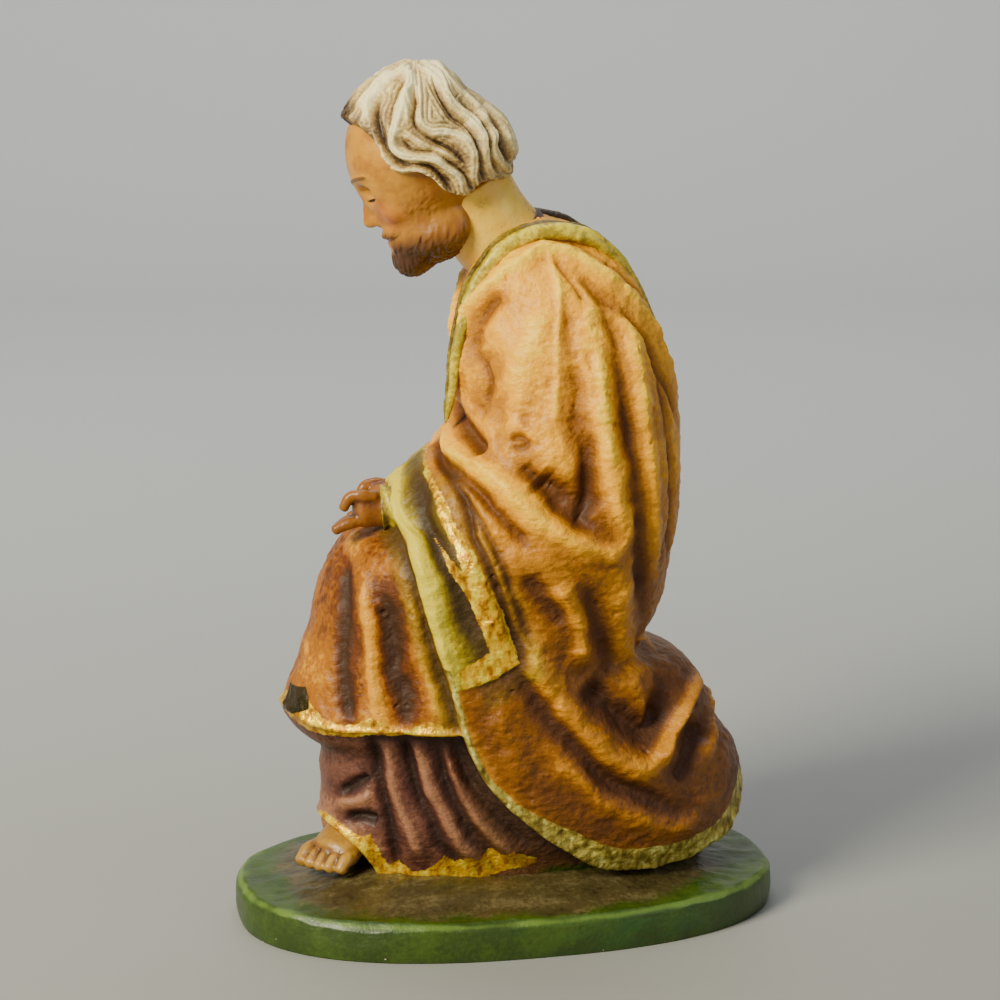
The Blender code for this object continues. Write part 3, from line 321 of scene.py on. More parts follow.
# Locks on each side as (height, half width, ((forward, up), ...)), laid from the crown to the hairline. One
# with a height under zero is a parting.
LOCKS = (
    (1.2, 1.3, ((-8, 22.6), (-3.6, 22.4), (0.1, 21.7), (3.8, 20.4), (6.6, 18), (8.4, 14.6))),
    (1.7, 1.5, ((-7, 21.5), (-5.1, 18), (-2.8, 16.5), (-0.6, 14.2), (2.4, 11), (4.6, 8.3), (4.5, 5.7),
                (2.1, 3), (-2, 0.9), (-4.8, -2.6), (-6.6, -6.7), (-6.3, -11.2))),
    (1.5, 1.1, ((8.6, 12), (8.2, 7.6), (7.6, 4.2), (5.6, 1), (2.2, -0.4), (-0.1, -3.6), (-1.3, -8.2))),
    (1.1, 1, ((1.4, 9.6), (-0.2, 7.6), (-1.9, 4.6), (-3.8, 2.2), (-6, -0.6), (-8.6, -4))),
    (1, 1, ((-7.5, 22), (-4.3, 18.2), (-2.9, 14), (-1.3, 10.6))),
    (1.3, 1.3, ((-8.2, 21), (-6.5, 15.8), (-4.7, 12.4), (-3.9, 9), (-5.4, 6.2), (-8.9, 4.3), (-11.8, 1.4),
                (-12.8, -1.8), (-11.6, -5), (-9.8, -8), (-9, -11))),
    (1.5, 1.4, ((-9.5, 22), (-12.4, 17), (-12.6, 12.5), (-13.4, 8.7), (-15, 5), (-16.4, 0.8), (-15.7, -3),
                (-14.2, -7), (-13.6, -10.6))),
    (1.3, 1.2, ((-17.4, 4.6), (-18.4, 1.6), (-18.6, -1.8), (-17.2, -5.4), (-17.4, -8.9), (-18, -11.6))),
    (1.5, 1.4, ((-10, 22.6), (-13.4, 20.2), (-15.2, 16.4), (-16.4, 12), (-18.2, 7.4), (-20.4, 3),
                (-21.8, -1.6), (-21.6, -6), (-20.6, -10))),
    (1.1, 1.2, ((-3, 22.6), (3, 21.4), (8, 19.2), (12, 16.4), (14.6, 13.8))),
    (1, 1.1, ((0, 22), (5, 19.6), (9.4, 16.4), (11.4, 13.2))),
    (-1.6, 0.9, ((2, 19.6), (4.7, 17.6), (6.2, 14.3), (6.6, 9.6), (6.2, 5.4), (4, 2), (1.3, 0.6),
                 (-1.4, -1.6), (-2.7, -5.4), (-3.2, -9.4))),
    (-1.4, 0.8, ((1.9, 8.5), (1.7, 5.8), (0.2, 3.9), (-3.7, 1.7), (-5.9, -1.9), (-8, -6.6), (-7.9, -11))),
    (-1.4, 0.8, ((-6.2, 17.4), (-5, 14.6), (-2.9, 12), (-2.5, 9.2), (-4.2, 5.6), (-6.4, 2.4), (-8.6, -0.6),
                 (-9.8, -4.6))),
    (-1.4, 0.9, ((-11, 17.4), (-11.2, 12.6), (-11.8, 8.4), (-13.6, 4), (-14.6, -0.6), (-13.4, -5.4),
                 (-11.6, -10.4))),
    (-1.2, 0.8, ((-15, 10), (-16.6, 6), (-17.8, 1), (-17.2, -2.6), (-15.8, -6.2), (-15.6, -10.6))),
    (-1.3, 0.9, ((-13.2, 20.8), (-16.2, 14.6), (-17.8, 10), (-19.6, 4.6), (-20.6, -1), (-19.6, -5.4),
                 (-19.2, -10.6))),
    (-1, 0.8, ((-1.6, 22.4), (3.6, 20.6), (8.8, 17.6), (12.6, 14))),
    (-1, 0.8, ((-5.6, 20.6), (-2, 19), (1.4, 15.6), (3.6, 12))),
)
STRANDS = 46  # fine strands from side to side of the hair, away from the locks
STRAND_SPACING = 1.15  # from one strand to the next beside a lock
STRAND_REACH = 7.0  # how far from a lock's path its strands lie

NECK = (((-12, 0, 214), 13.2), ((-6, 0, 204), 12), ((5, 0, 191), 13))
COLLAR = ((-1.5, 0, 199.5), (2, 0, 194.5), (5, 0, 188))
COLLAR_RADIUS = 13.0
LEFT_WRIST = (-37.4, -9, 123.8)
RIGHT_WRIST = (-29.5, 8, 122.5)
ANKLE = (-44.5, 0, 21)
FOOT_HEADING = math.radians(38)

# The paints, as they run from the stained hollows to the rubbed crests: a tone, and the paint's red, green
# and blue as they look. The depth is the power that a paint is raised to, because the render's view pales it.
PAINT_DEPTH = 1.5
MANTLE_PAINTS = ((-0.1, (112, 76, 40)), (0.15, (134, 92, 38)), (0.42, (164, 116, 34)), (0.7, (206, 154, 34)),
                 (1.0, (246, 192, 40)), (1.3, (255, 220, 62)))
KNEE_PAINTS = ((-0.1, (100, 72, 50)), (0.15, (106, 72, 32)), (0.42, (134, 84, 16)), (0.7, (184, 130, 26)),
               (1.0, (228, 176, 54)))
LINING_PAINTS = ((0.0, (96, 78, 36)), (0.25, (118, 100, 32)), (0.5, (152, 134, 34)), (0.75, (188, 170, 44)),
                 (1.05, (228, 212, 84)))
TUNIC_PAINTS = ((0.0, (80, 56, 46)), (0.25, (96, 66, 56)), (0.5, (112, 78, 66)), (0.75, (140, 102, 86)),
                (1.0, (178, 138, 112)))
EARTH_PAINTS = ((0.0, (100, 74, 50)), (0.3, (122, 92, 62)), (0.55, (142, 110, 74)), (0.85, (166, 134, 94)))
GOLD_PAINTS = ((0.0, (120, 86, 22)), (0.3, (198, 152, 30)), (0.6, (238, 198, 48)), (0.9, (252, 232, 100)))
HEM_PAINTS = ((0.1, (118, 102, 44)), (0.4, (160, 144, 70)), (0.7, (200, 186, 106)), (1.0, (234, 226, 156)))
HAIR_PAINTS = ((-1.9, (76, 58, 40)), (-0.9, (124, 102, 72)), (0.0, (182, 158, 114)), (0.8, (224, 204, 152)),
               (1.8, (250, 238, 196)))
GREEN_PAINTS = ((0.0, (66, 86, 28)), (0.35, (82, 102, 28)), (0.65, (98, 120, 36)), (1.0, (140, 156, 76)))
SOIL_PAINTS = ((0.1, (82, 68, 48)), (0.45, (108, 94, 66)), (0.8, (136, 122, 92)))
# Flesh paints: in the shade, in the light, and the stain in the hollows.
NECK_PAINTS = ((246, 208, 96), (255, 232, 130), (176, 128, 58))
HAND_PAINTS = ((136, 90, 24), (180, 130, 46), (70, 46, 20))
FOOT_PAINTS = ((160, 120, 52), (212, 176, 96), (78, 52, 26))
# Painted shade in the recess cut back under the foot's hem, and the paint of a patch at the drape's corner.
RECESS_SHADE_PAINT = (58, 42, 28)
CORNER_PAINT = (84, 72, 26)

# The camera: bearing from the figure's left side, metres out, up and aside, dip, and lens in millimetres.
CAMERA_BEARING = math.radians(13.0)
CAMERA_DISTANCE = 0.908
CAMERA_HEIGHT = 0.330
CAMERA_PITCH = math.radians(12.895)
CAMERA_SHIFT = 0.0014
CAMERA_LENS = 115.92
DETAIL = 1.0
ROBE_ROWS = 440
ROBE_LEFT_COLUMNS = 390
ROBE_RIGHT_COLUMNS = 130
FUSED_VOXEL = 0.00042  # metres, of the hands and the foot


# Curves, steps and noise

def eased(places, values, at):
    """A cubic through values at places whose slope at each is the slope between its two neighbours."""
    places = np.asarray(places, float)
    values = np.asarray(values, float)
    slope = np.gradient(values, places)
    left = np.clip(np.searchsorted(places, at) - 1, 0, len(places) - 2)
    span = places[left + 1] - places[left]
    t = np.clip((at - places[left]) / span, 0.0, 1.0)
    return (
        (2 * t**3 - 3 * t**2 + 1) * values[left]
        + (t**3 - 2 * t**2 + t) * span * slope[left]
        + (3 * t**2 - 2 * t**3) * values[left + 1]
        + (t**3 - t**2) * span * slope[left + 1]
    )


def smooth_path(points, count):
    """count points spaced evenly along a smooth curve through the given ones."""
    points = np.asarray(points, float)
    steps = np.arange(len(points))
    fine = np.linspace(0, len(points) - 1, 12 * len(points))
    dense = np.stack([eased(steps, points[:, k], fine) for k in range(points.shape[1])], axis=1)
    walked = np.concatenate([[0.0], np.cumsum(np.linalg.norm(np.diff(dense, axis=0), axis=1))])
    even = np.linspace(0, walked[-1], count)
    return np.stack([np.interp(even, walked, dense[:, k]) for k in range(points.shape[1])], axis=1)


def rise_over(value, start, end):
    """0 before start and 1 after end, with a smooth rise between."""
    t = np.clip((value - start) / (end - start), 0, 1)
    return t * t * (3 - 2 * t)


def hump(value, width, middle=0.0):
    """A bell: 1 at the middle, and 1/e a width away from it."""
    return np.exp(-(((value - middle) / width) ** 2))


def lattice_noise(points, size, seed):
    """Smooth noise, about -0.7 to 0.7: each corner of a cubic lattice has a random slope, and the slopes'
    heights at a point are blended by a quintic curve."""
    place = np.asarray(points, float) / size + 13.7 * seed
    cell = np.floor(place).astype(np.int64)
    inside = place - cell
    fade = inside**3 * (inside * (6 * inside - 15) + 10)
    total = np.zeros(place.shape[:-1])
    for corner in np.ndindex(2, 2, 2):
        key = (cell + corner) * (73856093, 19349663, 83492791)
        mixed = (key[..., 0] ^ key[..., 1] ^ key[..., 2]) & 0xFFFFFFF
        mixed = (mixed ^ (mixed >> 13)) * 1274126177 & 0xFFFFFFF
        mixed ^= mixed >> 11
        slope = np.stack([(mixed >> shift & 255) / 127.5 - 1 for shift in (2, 10, 18)], axis=-1)
        weight = np.where(corner, fade, 1 - fade).prod(axis=-1)
        total += weight * ((inside - corner) * slope).sum(axis=-1)
    return total


def rough(points, size, octaves, seed):
    """Noise summed over octaves, each half the size and 0.55 of the height of the one before."""
    return sum(0.55**k * lattice_noise(points, size / 2**k, seed + k) for k in range(octaves))


def creased(points, size, octaves, seed):
    """Creased noise, about -0.6 to 0.4: sheets of noise folded over at 0, so that planes meet in crisp edges.
    The octaves are by turns crests and cracks."""
    total = 0.0
    for k in range(octaves):
        fold = 0.22 - np.abs(lattice_noise(points, size / 2**k, seed + k))
        total = total + 0.55**k * (fold if k % 2 == 0 else -fold)
    return 1.6 * total


def nearest_on(path, points):
    """Distance of each point to a path, how far along it from 0 to 1, and its side in the x-z plane."""
    best = np.full(len(points), 1e18)
    share = np.zeros(len(points))
    side = np.ones(len(points))
    for i in range(len(path) - 1):
        start, run = path[i], path[i + 1] - path[i]
        t = np.clip(((points - start) @ run) / (run @ run), 0, 1)
        away = points - start - t[:, None] * run
        distance = np.einsum("ij,ij->i", away, away)
        closer = distance < best
        best[closer] = distance[closer]
        share[closer] = (i + t[closer]) / (len(path) - 1)
        side[closer] = np.sign(run[0] * away[closer, -1] - run[-1] * away[closer, 0])
    return np.sqrt(best), share, side


def edge_side(plane, edge):
    """Signed distance in a plane to an edge: positive on its left as it runs."""
    distance, _, side = nearest_on(smooth_path(edge, 3 * len(edge)), plane)
    return distance * side


def outline_side(plane, outline):
    """Signed distance in a plane to a closed outline: positive inside it."""
    corners = np.asarray(outline, float)
    distance, _, _ = nearest_on(np.concatenate([corners, corners[:1]]), plane)
    inside = np.zeros(len(plane), bool)
    for (x0, z0), (x1, z1) in zip(corners, np.roll(corners, -1, axis=0)):
        crosses = (z0 > plane[:, 1]) != (z1 > plane[:, 1])
        reach = x0 + (plane[:, 1] - z0) * (x1 - x0) / (z1 - z0 + 1e-12)
        inside ^= crosses & (plane[:, 0] < reach)
    return np.where(inside, distance, -distance)


def blurred(values, rows, columns):
    """A grid's values averaged over that many rows and columns by three box means. Columns run round."""
    for half, axis in ((rows, 0), (columns, 1)):
        for _ in range(3):
            pad = [(0, 0), (0, 0)]
            pad[axis] = (half + 1, half)
            padded = np.pad(values, pad, mode="wrap" if axis else "edge")
            summed = np.cumsum(padded, axis=axis)
            width = 2 * half + 1
            if axis:
                values = (summed[:, width:] - summed[:, :-width]) / width
            else:
                values = (summed[width:] - summed[:-width]) / width
    return values


def bell(distance, half_width, height):
    """A fold's profile: a round bell on a ridge, and a bell with a sharper foot in a furrow."""
    crisp = 0.2 if height < 0 else 0.15
    near = distance / half_width
    return height * ((1 - crisp) * np.exp(-(near**2)) + crisp * np.exp(-1.7 * near))


def surface_normals(grid):
    """Outward normals of a grid of rings that run round: the two ways along it crossed, turned away from the
    rings' middles."""
    around = np.roll(grid, -1, axis=1) - np.roll(grid, 1, axis=1)
    normal = np.cross(around, np.gradient(grid, axis=0))
    normal /= np.linalg.norm(normal, axis=-1, keepdims=True) + 1e-12
    outward = grid - grid.mean(axis=1, keepdims=True)
    return normal if (normal * outward).sum() > 0 else -normal


# Meshes

def to_metres(points):
    """Units to metres, with the figure set down on the base's rim."""
    return (np.asarray(points) - (0, 0, GROUND_LEVEL)) * UNIT + (0, 0, RIM_HEIGHT)


def ring_faces(rows, columns, capped=True):
    """Quads between rings that run round, and fans to a point below the first ring and one above the last."""
    column = np.arange(columns)
    beside = (column + 1) % columns
    ring = (np.arange(rows - 1) * columns)[:, None]
    above = ring + columns
    quads = np.stack([ring + column, ring + beside, above + beside, above + column], axis=-1).reshape(-1, 4)
    if not capped:
        return quads, np.zeros((0, 3), int)
    low, high, top = rows * columns, rows * columns + 1, (rows - 1) * columns
    below = np.stack([beside, column, np.full(columns, low)], axis=1)
    over = np.stack([top + column, top + beside, np.full(columns, high)], axis=1)
    return quads, np.concatenate([below, over])


def facing_out(points, quads, fans):
    """The faces, turned round if they point inwards on the whole."""
    diagonals = np.cross(points[quads[:, 2]] - points[quads[:, 0]], points[quads[:, 3]] - points[quads[:, 1]])
    outward = points[quads].mean(axis=1) - points.mean(axis=0)
    if (diagonals * outward).sum() < 0:
        return quads[:, ::-1], fans[:, ::-1]
    return quads, fans


def piece_from(name, points, quads, fans, material, values, normals=None):
    """A smooth-shaded piece from arrays, with one number for each point under each name in values."""
    quads, fans = facing_out(points, quads, fans)
    mesh = bpy.data.meshes.new(name)
    mesh.vertices.add(len(points))
    mesh.vertices.foreach_set("co", points.astype(np.float32).ravel())
    corners = np.concatenate([quads.ravel(), fans.ravel()]).astype(np.int32)
    sizes = np.concatenate([np.full(len(quads), 4), np.full(len(fans), 3)])
    mesh.loops.add(len(corners))
    mesh.loops.foreach_set("vertex_index", corners)
    mesh.polygons.add(len(sizes))
    mesh.polygons.foreach_set("loop_start", (np.cumsum(sizes) - sizes).astype(np.int32))
    mesh.update(calc_edges=True)
    mesh.validate()
    mesh.shade_smooth()
    for key, numbers in values.items():
        carried = mesh.attributes.new(key, "FLOAT", "POINT")
        carried.data.foreach_set("value", numbers.astype(np.float32).ravel())
    if normals is not None:
        mesh.normals_split_custom_set_from_vertices(normals.reshape(-1, 3).tolist())
    made = bpy.data.objects.new(name, mesh)
    bpy.context.scene.collection.objects.link(made)
    mesh.materials.append(material)
    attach(made, "root")
    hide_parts("figure")


def shell_points(grid):
    """A grid's points and the middles of its first and last rings."""
    return np.concatenate([grid.reshape(-1, 3), grid[:1].mean(1), grid[-1:].mean(1)])


def shell_values(values):
    """Each grid of numbers as a list that matches shell_points: the ends get the means of their rings."""
    return {key: np.concatenate([v.ravel(), [v[0].mean(), v[-1].mean()]]) for key, v in values.items()}


def shell_piece(name, grid, material, values):
    """A closed piece from rings, in units."""
    quads, fans = ring_faces(*grid.shape[:2])
    piece_from(name, to_metres(shell_points(grid)), quads, fans, material, shell_values(values))


def mesh_numbers(items, key, width, kind=np.float32):
    """One property of all of a mesh's points, edges, faces or corners, with width numbers for each."""
    numbers = np.empty(len(items) * width, kind)
    items.foreach_get(key, numbers)
    return numbers.reshape(-1, width)


def fused_piece(name, grids, voxel, smoothing, material, relief):
    """Several closed shells, in units, fused on a fine voxel grid and smoothed. relief(points) gives the
    height of the fine marks, and the piece carries how far each point stands out from its surroundings."""
    points, faces, first = [], [], 0
    for grid in grids:
        quads, fans = ring_faces(*grid.shape[:2])
        points.append(to_metres(shell_points(grid)))
        faces += (quads + first).tolist() + (fans + first).tolist()
        first += len(points[-1])
    rough_mesh = bpy.data.meshes.new(name + "_forms")
    rough_mesh.from_pydata(np.concatenate(points).tolist(), [], faces)
    forms = bpy.data.objects.new(name + "_forms", rough_mesh)
    bpy.context.scene.collection.objects.link(forms)
    fuse = forms.modifiers.new("fuse", "REMESH")
    fuse.mode = "VOXEL"
    fuse.voxel_size = voxel
    soften = forms.modifiers.new("soften", "SMOOTH")
    soften.iterations = smoothing
    soften.factor = 0.5
    evaluated = forms.evaluated_get(bpy.context.evaluated_depsgraph_get())
    fused = evaluated.to_mesh()
    place = mesh_numbers(fused.vertices, "co", 3).astype(float)
    normal = mesh_numbers(fused.vertices, "normal", 3)
    edges = mesh_numbers(fused.edges, "vertices", 2, np.int32)
    sides = mesh_numbers(fused.polygons, "loop_total", 1, np.int32).ravel()
    corners = mesh_numbers(fused.loops, "vertex_index", 1, np.int32).ravel()
    evaluated.to_mesh_clear()
    bpy.data.objects.remove(forms)
    starts = np.cumsum(sides) - sides
    quads = corners[starts[sides == 4][:, None] + np.arange(4)]
    fans = corners[starts[sides == 3][:, None] + np.arange(3)]
    units = (place - (0, 0, RIM_HEIGHT)) / UNIT + (0, 0, GROUND_LEVEL)
    stands_out = 1000 * ((place - neighbour_mean(place, edges, 40)) * normal).sum(axis=1)
    place += normal * (relief(units) * UNIT)[:, None]
    piece_from(name, place, quads, fans, material, {"ridge": stands_out})


def neighbour_mean(place, edges, rounds):
    """Points moved to the mean of their neighbours, again and again."""
    near, far = np.concatenate([edges, edges[:, ::-1]]).T
    count = np.bincount(near, minlength=len(place))[:, None]
    for _ in range(rounds):
        total = np.stack([np.bincount(near, place[far, k], len(place)) for k in range(3)], axis=1)
        place = total / np.maximum(count, 1)
    return place


# The robed body

def body_sizes(level):
    """Front, widest place, back and both half widths of the body at a level, eased between the table's."""
    levels, *sizes = np.transpose(BODY_LEVELS)
    return [eased(levels, size, level) for size in sizes]


def body_ring_point(angle, level):
    """A point of the body: half a superellipse on the left, half on the right, joined at front and back."""
    front, widest, back, left, right = body_sizes(level)
    across, along = np.sin(angle), -np.cos(angle)
    power = 2.0 / BODY_SQUARENESS
    reach = np.where(along < 0, widest - front, back - widest)
    x = widest + np.sign(along) * np.abs(along) ** power * reach
    y = np.abs(across) ** power * np.where(across < 0, right, -left)
    return np.stack([x, y, level + 0 * x], axis=-1)


def side_depth(x, level, left):
    """y of the body's surface at x and level on the left or the right, from the superellipse's equation."""
    front, widest, back, left_half, right_half = body_sizes(level)
    reach = np.where(x < widest, widest - front, back - widest)
    across = np.clip(np.abs(x - widest) / reach, 0, 1) ** BODY_SQUARENESS
    half = np.maximum(1 - across, 0) ** (1 / BODY_SQUARENESS)
    return -half * left_half if left else half * right_half


def turned(points):
    """The front of the chest falls back towards the figure's right, as the head is turned that way."""
    x, y, level = np.moveaxis(np.asarray(points, float), -1, 0)
    front = 1 - rise_over(x, -2.0, 12.0)
    back = CHEST_TURN * np.maximum(y - CHEST_TURN_FROM, 0) * front * rise_over(level, 118.0, 138.0)
    return np.stack([x + back, y, level], axis=-1)


def fold_heights(points, folds, left):
    """Sum of the folds' heights at the points: each is a bell across its path, and dies away at its ends."""
    total = np.zeros(len(points))
    points = points + 1.3 * np.stack([rough(points, 13.0, 2, 33 + k) for k in range(3)], axis=1)
    depth_share = 1 + 0.55 * rough(points, 11.0, 2, 37)
    for height, half_width, places in folds:
        path = smooth_path(places, 4 * len(places))
        depth = side_depth(path[:, 0], path[:, 1], left)
        path = np.stack([path[:, 0], depth, path[:, 1]], axis=1)
        reach = 2.8 * half_width
        low, high = path.min(axis=0) - reach, path.max(axis=0) + reach
        near = ((points > low) & (points < high)).all(axis=1)
        distance, share, _ = nearest_on(path, points[near])
        ends = np.clip(np.minimum(share, 1 - share) * 6 + 0.25, 0, 1)
        total[near] += ends * bell(distance, half_width, height) * depth_share[near]
    return total


def stain_and_painted_light_shares(points, plane):
    """Darkening at the points by stain and painted shade, less painted highlights: a sum of bells across the
    paths in the table.
    """
    total = np.zeros(len(points))
    for share, half_width, places in STAINS_AND_PAINTED_LIGHT:
        path = smooth_path(places, 3 * len(places))
        low, high = path.min(axis=0) - 2.4 * half_width, path.max(axis=0) + 2.4 * half_width
        near = (points[:, 1] < 0) & ((plane > low) & (plane < high)).all(axis=1)
        distance, _, _ = nearest_on(path, plane[near])
        total[near] += share * hump(distance, half_width)
    return total


def robe_rows(count):
    """Levels of the rings, spaced evenly along the body's outline on the left."""
    fine = np.linspace(BODY_LEVELS[0][0], BODY_LEVELS[-1][0], 800)
    outline = side_depth(np.full(800, 8.0), fine, True)
    walked = np.concatenate([[0.0], np.cumsum(np.hypot(np.diff(fine), np.diff(outline)))])
    return np.interp(np.linspace(0, walked[-1], count), walked, fine)


def robe_grid(left_columns, right_columns, rows):
    """The robed body: superellipse rings by level, moved along their normals by the cloth, its folds and the
    marks of the sculptor's tools. Also the distances to the cloth's edges and trims, for the paint."""
    left = np.linspace(0, math.pi, left_columns, endpoint=False)
    right = np.linspace(math.pi, 2 * math.pi, right_columns, endpoint=False)
    angles, levels = np.meshgrid(np.concatenate([left, right]), robe_rows(rows))
    grid = body_ring_point(angles, levels)
    normal = surface_normals(grid)
    points = grid.reshape(-1, 3)
    x, y, level = points.T
    on_left = y < 0
    # Cloth edges waver a little, as they do when modelled by hand.
    waver = np.stack([0.5 * rough(points, 9.0, 2, 31), 0.5 * rough(points, 9.0, 2, 32)], axis=1)
    plane = points[:, [0, 2]] + waver
    mantle = edge_side(plane, MANTLE_EDGE)
    fold_line = -edge_side(plane, LINING_EDGE)
    drape = edge_side(plane, DRAPE_HEM)
    drape = np.where(x < -10, drape, level - 62.0)
    over_mantle = rise_over(mantle, -EDGE_SOFTNESS, EDGE_SOFTNESS)
    over_knee = rise_over(drape, -EDGE_SOFTNESS, EDGE_SOFTNESS)
    tucked = (1 - over_mantle) * (1 - over_knee) * rise_over(x, -64, -36)
    band = rise_over(level, 74, 80) * (1 - rise_over(level, 138, 148))
    lining = rise_over(fold_line, -EDGE_SOFTNESS, EDGE_SOFTNESS) * over_mantle * band
    low = 1 - rise_over(level, 138, 156)
    cover = EDGE_STEP * over_mantle * low - TUCK * tucked + LINING_STEP * lining
    hem_lip = 0.7 * hump(mantle, 1.2, 1.4) * low
    hem_lip += 0.8 * hump(drape, 1.0, 1.2) * (1 - over_mantle)
    folds = np.where(on_left, fold_heights(points, LEFT_FOLDS + LEFT_MARKS, True),
                     fold_heights(points, RIGHT_FOLDS, False))
    cloth = over_mantle + over_knee * (1 - over_mantle)
    opening = edge_side(plane, FOOT_HEM)
    opening = np.where(y < 7, opening, -9.0)
    cut_back = FOOT_RECESS * rise_over(opening, -0.3, 0.9)
    hem_lip += 0.8 * hump(opening, 0.9, -1.1)
    lift = (folds + cover + hem_lip * rise_over(level, 12, 20) - cut_back).reshape(grid.shape[:2])
    down, along = rows / ROBE_ROWS, left_columns / ROBE_LEFT_COLUMNS
    broad = lift - blurred(lift, round(14 * down), round(18 * along))
    fine = lift - blurred(lift, round(4 * down), round(5 * along))
    tooled = tool_marks(points, cloth, np.clip(broad.ravel() / 2.0, -1, 1))
    grid = turned(grid + normal * (lift + tooled.reshape(lift.shape))[..., None])
    deep = np.interp(x, *np.transpose(HEM_DEPTH))
    hem = np.minimum(mantle, deep - mantle) - 60 * (level > 84)
    lining_value = np.where(level < 150, np.minimum(mantle, fold_line), -9.0)
    trims = [outline_side(plane, outline) for outline in (BORDER_GOLD, DRAPE_GOLD, TUNIC_GOLD)]
    left_trims = np.where(on_left, np.maximum.reduce(trims), -9.0)
    right_trims = np.where(on_left, -9.0, np.maximum(2.6 - np.abs(drape - 2.4), 2.6 - np.abs(level - 19.0)))
    right_trims = np.where(mantle < 0, right_trims, -9.0)
    to_edge = np.minimum(np.abs(mantle), np.abs(drape))
    values = {
        "mantle": mantle,
        "drape": drape,
        "lining": lining_value,
        "hem": hem,
        "gold": np.maximum(left_trims, right_trims),
        "opening": opening,
        "stain_and_painted_light": stain_and_painted_light_shares(points, plane),
        "patch": np.where(on_left, outline_side(plane, CORNER_PATCH), -9.0),
        "tunic": np.where((mantle < 0) & (drape < 0), to_edge, -to_edge),
        "ridge": broad,
        "crease": fine + 0.6 * tooled.reshape(lift.shape),
    }
    return grid, {key: np.asarray(v).reshape(lift.shape) for key, v in values.items()}


def tool_marks(points, cloth, stands_out):
    """Height of the tool and brush marks: planed facets, wrinkles across the crests, stipple and pits."""
    planes = 0.95 * creased(points, 15.0, 2, 1) + 0.45 * creased(points, 5.6, 2, 3)
    sway = [rough(points, 6.0, 2, 15), rough(points, 6.0, 2, 16), 0 * points[:, 0]]
    bent = points + 1.2 * np.stack(sway, axis=1)
    wrinkles = 0.5 * creased(bent * (0.55, 0.55, 1.5), 3.4, 2, 7)
    wrinkles *= 0.35 + 0.65 * rise_over(stands_out, -0.3, 0.6)
    wrinkles *= 0.25 + 0.75 * rise_over(points[:, 0], -26.0, -14.0)
    stipple = 0.20 * rough(points, 1.9, 2, 12) * (0.7 + 0.8 * rise_over(-stands_out, 0.0, 0.7))
    pits = -0.7 * rise_over(lattice_noise(points, 2.4, 21), 0.42, 0.62)
    return (planes + wrinkles + pits) * (0.35 + 0.65 * cloth) + stipple


def add_robe(material):
    """The robe's fine grid, parted at a few levels so that each piece stays light. The pieces share the whole
    grid's normals, so that no seam shows."""
    counts = [round(count * DETAIL) for count in (ROBE_LEFT_COLUMNS, ROBE_RIGHT_COLUMNS, ROBE_ROWS)]
    grid, values = robe_grid(*counts)
    rows, columns = grid.shape[:2]
    normals = surface_normals(grid)
    parts = (("robe_hem", 0, 0.34), ("robe_middle", 0.34, 0.67), ("robe_shoulders", 0.67, 1))
    for name, start, end in parts:
        first, last = round(start * (rows - 1)), round(end * (rows - 1))
        some = slice(first, last + 1)
        quads, _ = ring_faces(last - first + 1, columns, capped=False)
        kept = {key: v[some] for key, v in values.items()}
        piece_from(name, to_metres(grid[some].reshape(-1, 3)), quads, np.zeros((0, 3), int), material, kept,
                   normals[some])


# Tubes: the mantle's rolled edge, the neck and the collar

def tube_grid(path, half_widths, half_heights, outward, sides):
    """An ellipse carried along a path. Its height points outward."""
    run = np.gradient(path, axis=0)
    run /= np.linalg.norm(run, axis=1, keepdims=True)
    up = outward - (outward * run).sum(1, keepdims=True) * run
    up /= np.linalg.norm(up, axis=1, keepdims=True)
    across = np.cross(run, up)
    turn = np.linspace(0, 2 * math.pi, sides, endpoint=False)
    wide = np.asarray(half_widths)[:, None, None] * np.cos(turn)[None, :, None]
    high = np.asarray(half_heights)[:, None, None] * np.sin(turn)[None, :, None]
    return path[:, None, :] + wide * across[:, None, :] + high * up[:, None, :]


def rounded_ends(count, share=0.12):
    """Sizes along a tube from 0 to 1 to 0, full apart from a round end of the given share of its length."""
    t = np.linspace(0, 1, count)
    into = np.clip(np.minimum(t, 1 - t) / share, 0, 1)
    return np.sqrt(1 - (1 - into) ** 2) * 0.999 + 0.001


def add_rolls(material):
    """The mantle's rolled edge on both sides: a strap with a crest along its upper side and a hollow below
    it, from the chest over the shoulder to the back."""
    count, sides = round(420 * DETAIL), round(50 * DETAIL)
    left = smooth_path(ROLL, count)
    half_width = left[:, 3] * rounded_ends(count, 0.05)
    turn = np.linspace(0, 2 * math.pi, sides, endpoint=False)[None, :]
    for name, mirror in (("mantle_roll_left", 1), ("mantle_roll_right", -1)):
        path = turned(left[:, :3] * (1, mirror, 1))
        outward = path - ROLL_AROUND
        outward /= np.linalg.norm(outward, axis=1, keepdims=True)
        grid = tube_grid(path, half_width, ROLL_FLATNESS * half_width, outward, sides)
        normal = surface_normals(grid)
        upper = turn if mirror > 0 else math.pi - turn
        crest = 0.55 * hump(np.cos(upper), 0.3, 0.45) * (np.sin(turn) > 0)
        hollow = -0.75 * hump(np.cos(upper), 0.3, -0.35) * (np.sin(turn) > 0)
        form = (crest + hollow) * (half_width[:, None] / 4.0)
        marks = 0.45 * creased(grid, 7.0, 3, 3) + 0.12 * rough(grid, 1.8, 2, 5)
        grid += normal * (form + marks)[..., None]
        # The roll's tone runs lighter towards its upper side: painted light from above.
        values = {"ridge": form * 1.6 + marks + 0.25 * np.cos(upper), "seam": 1.0 + np.cos(upper) + 0 * form}
        shell_piece(name, grid, material, values)


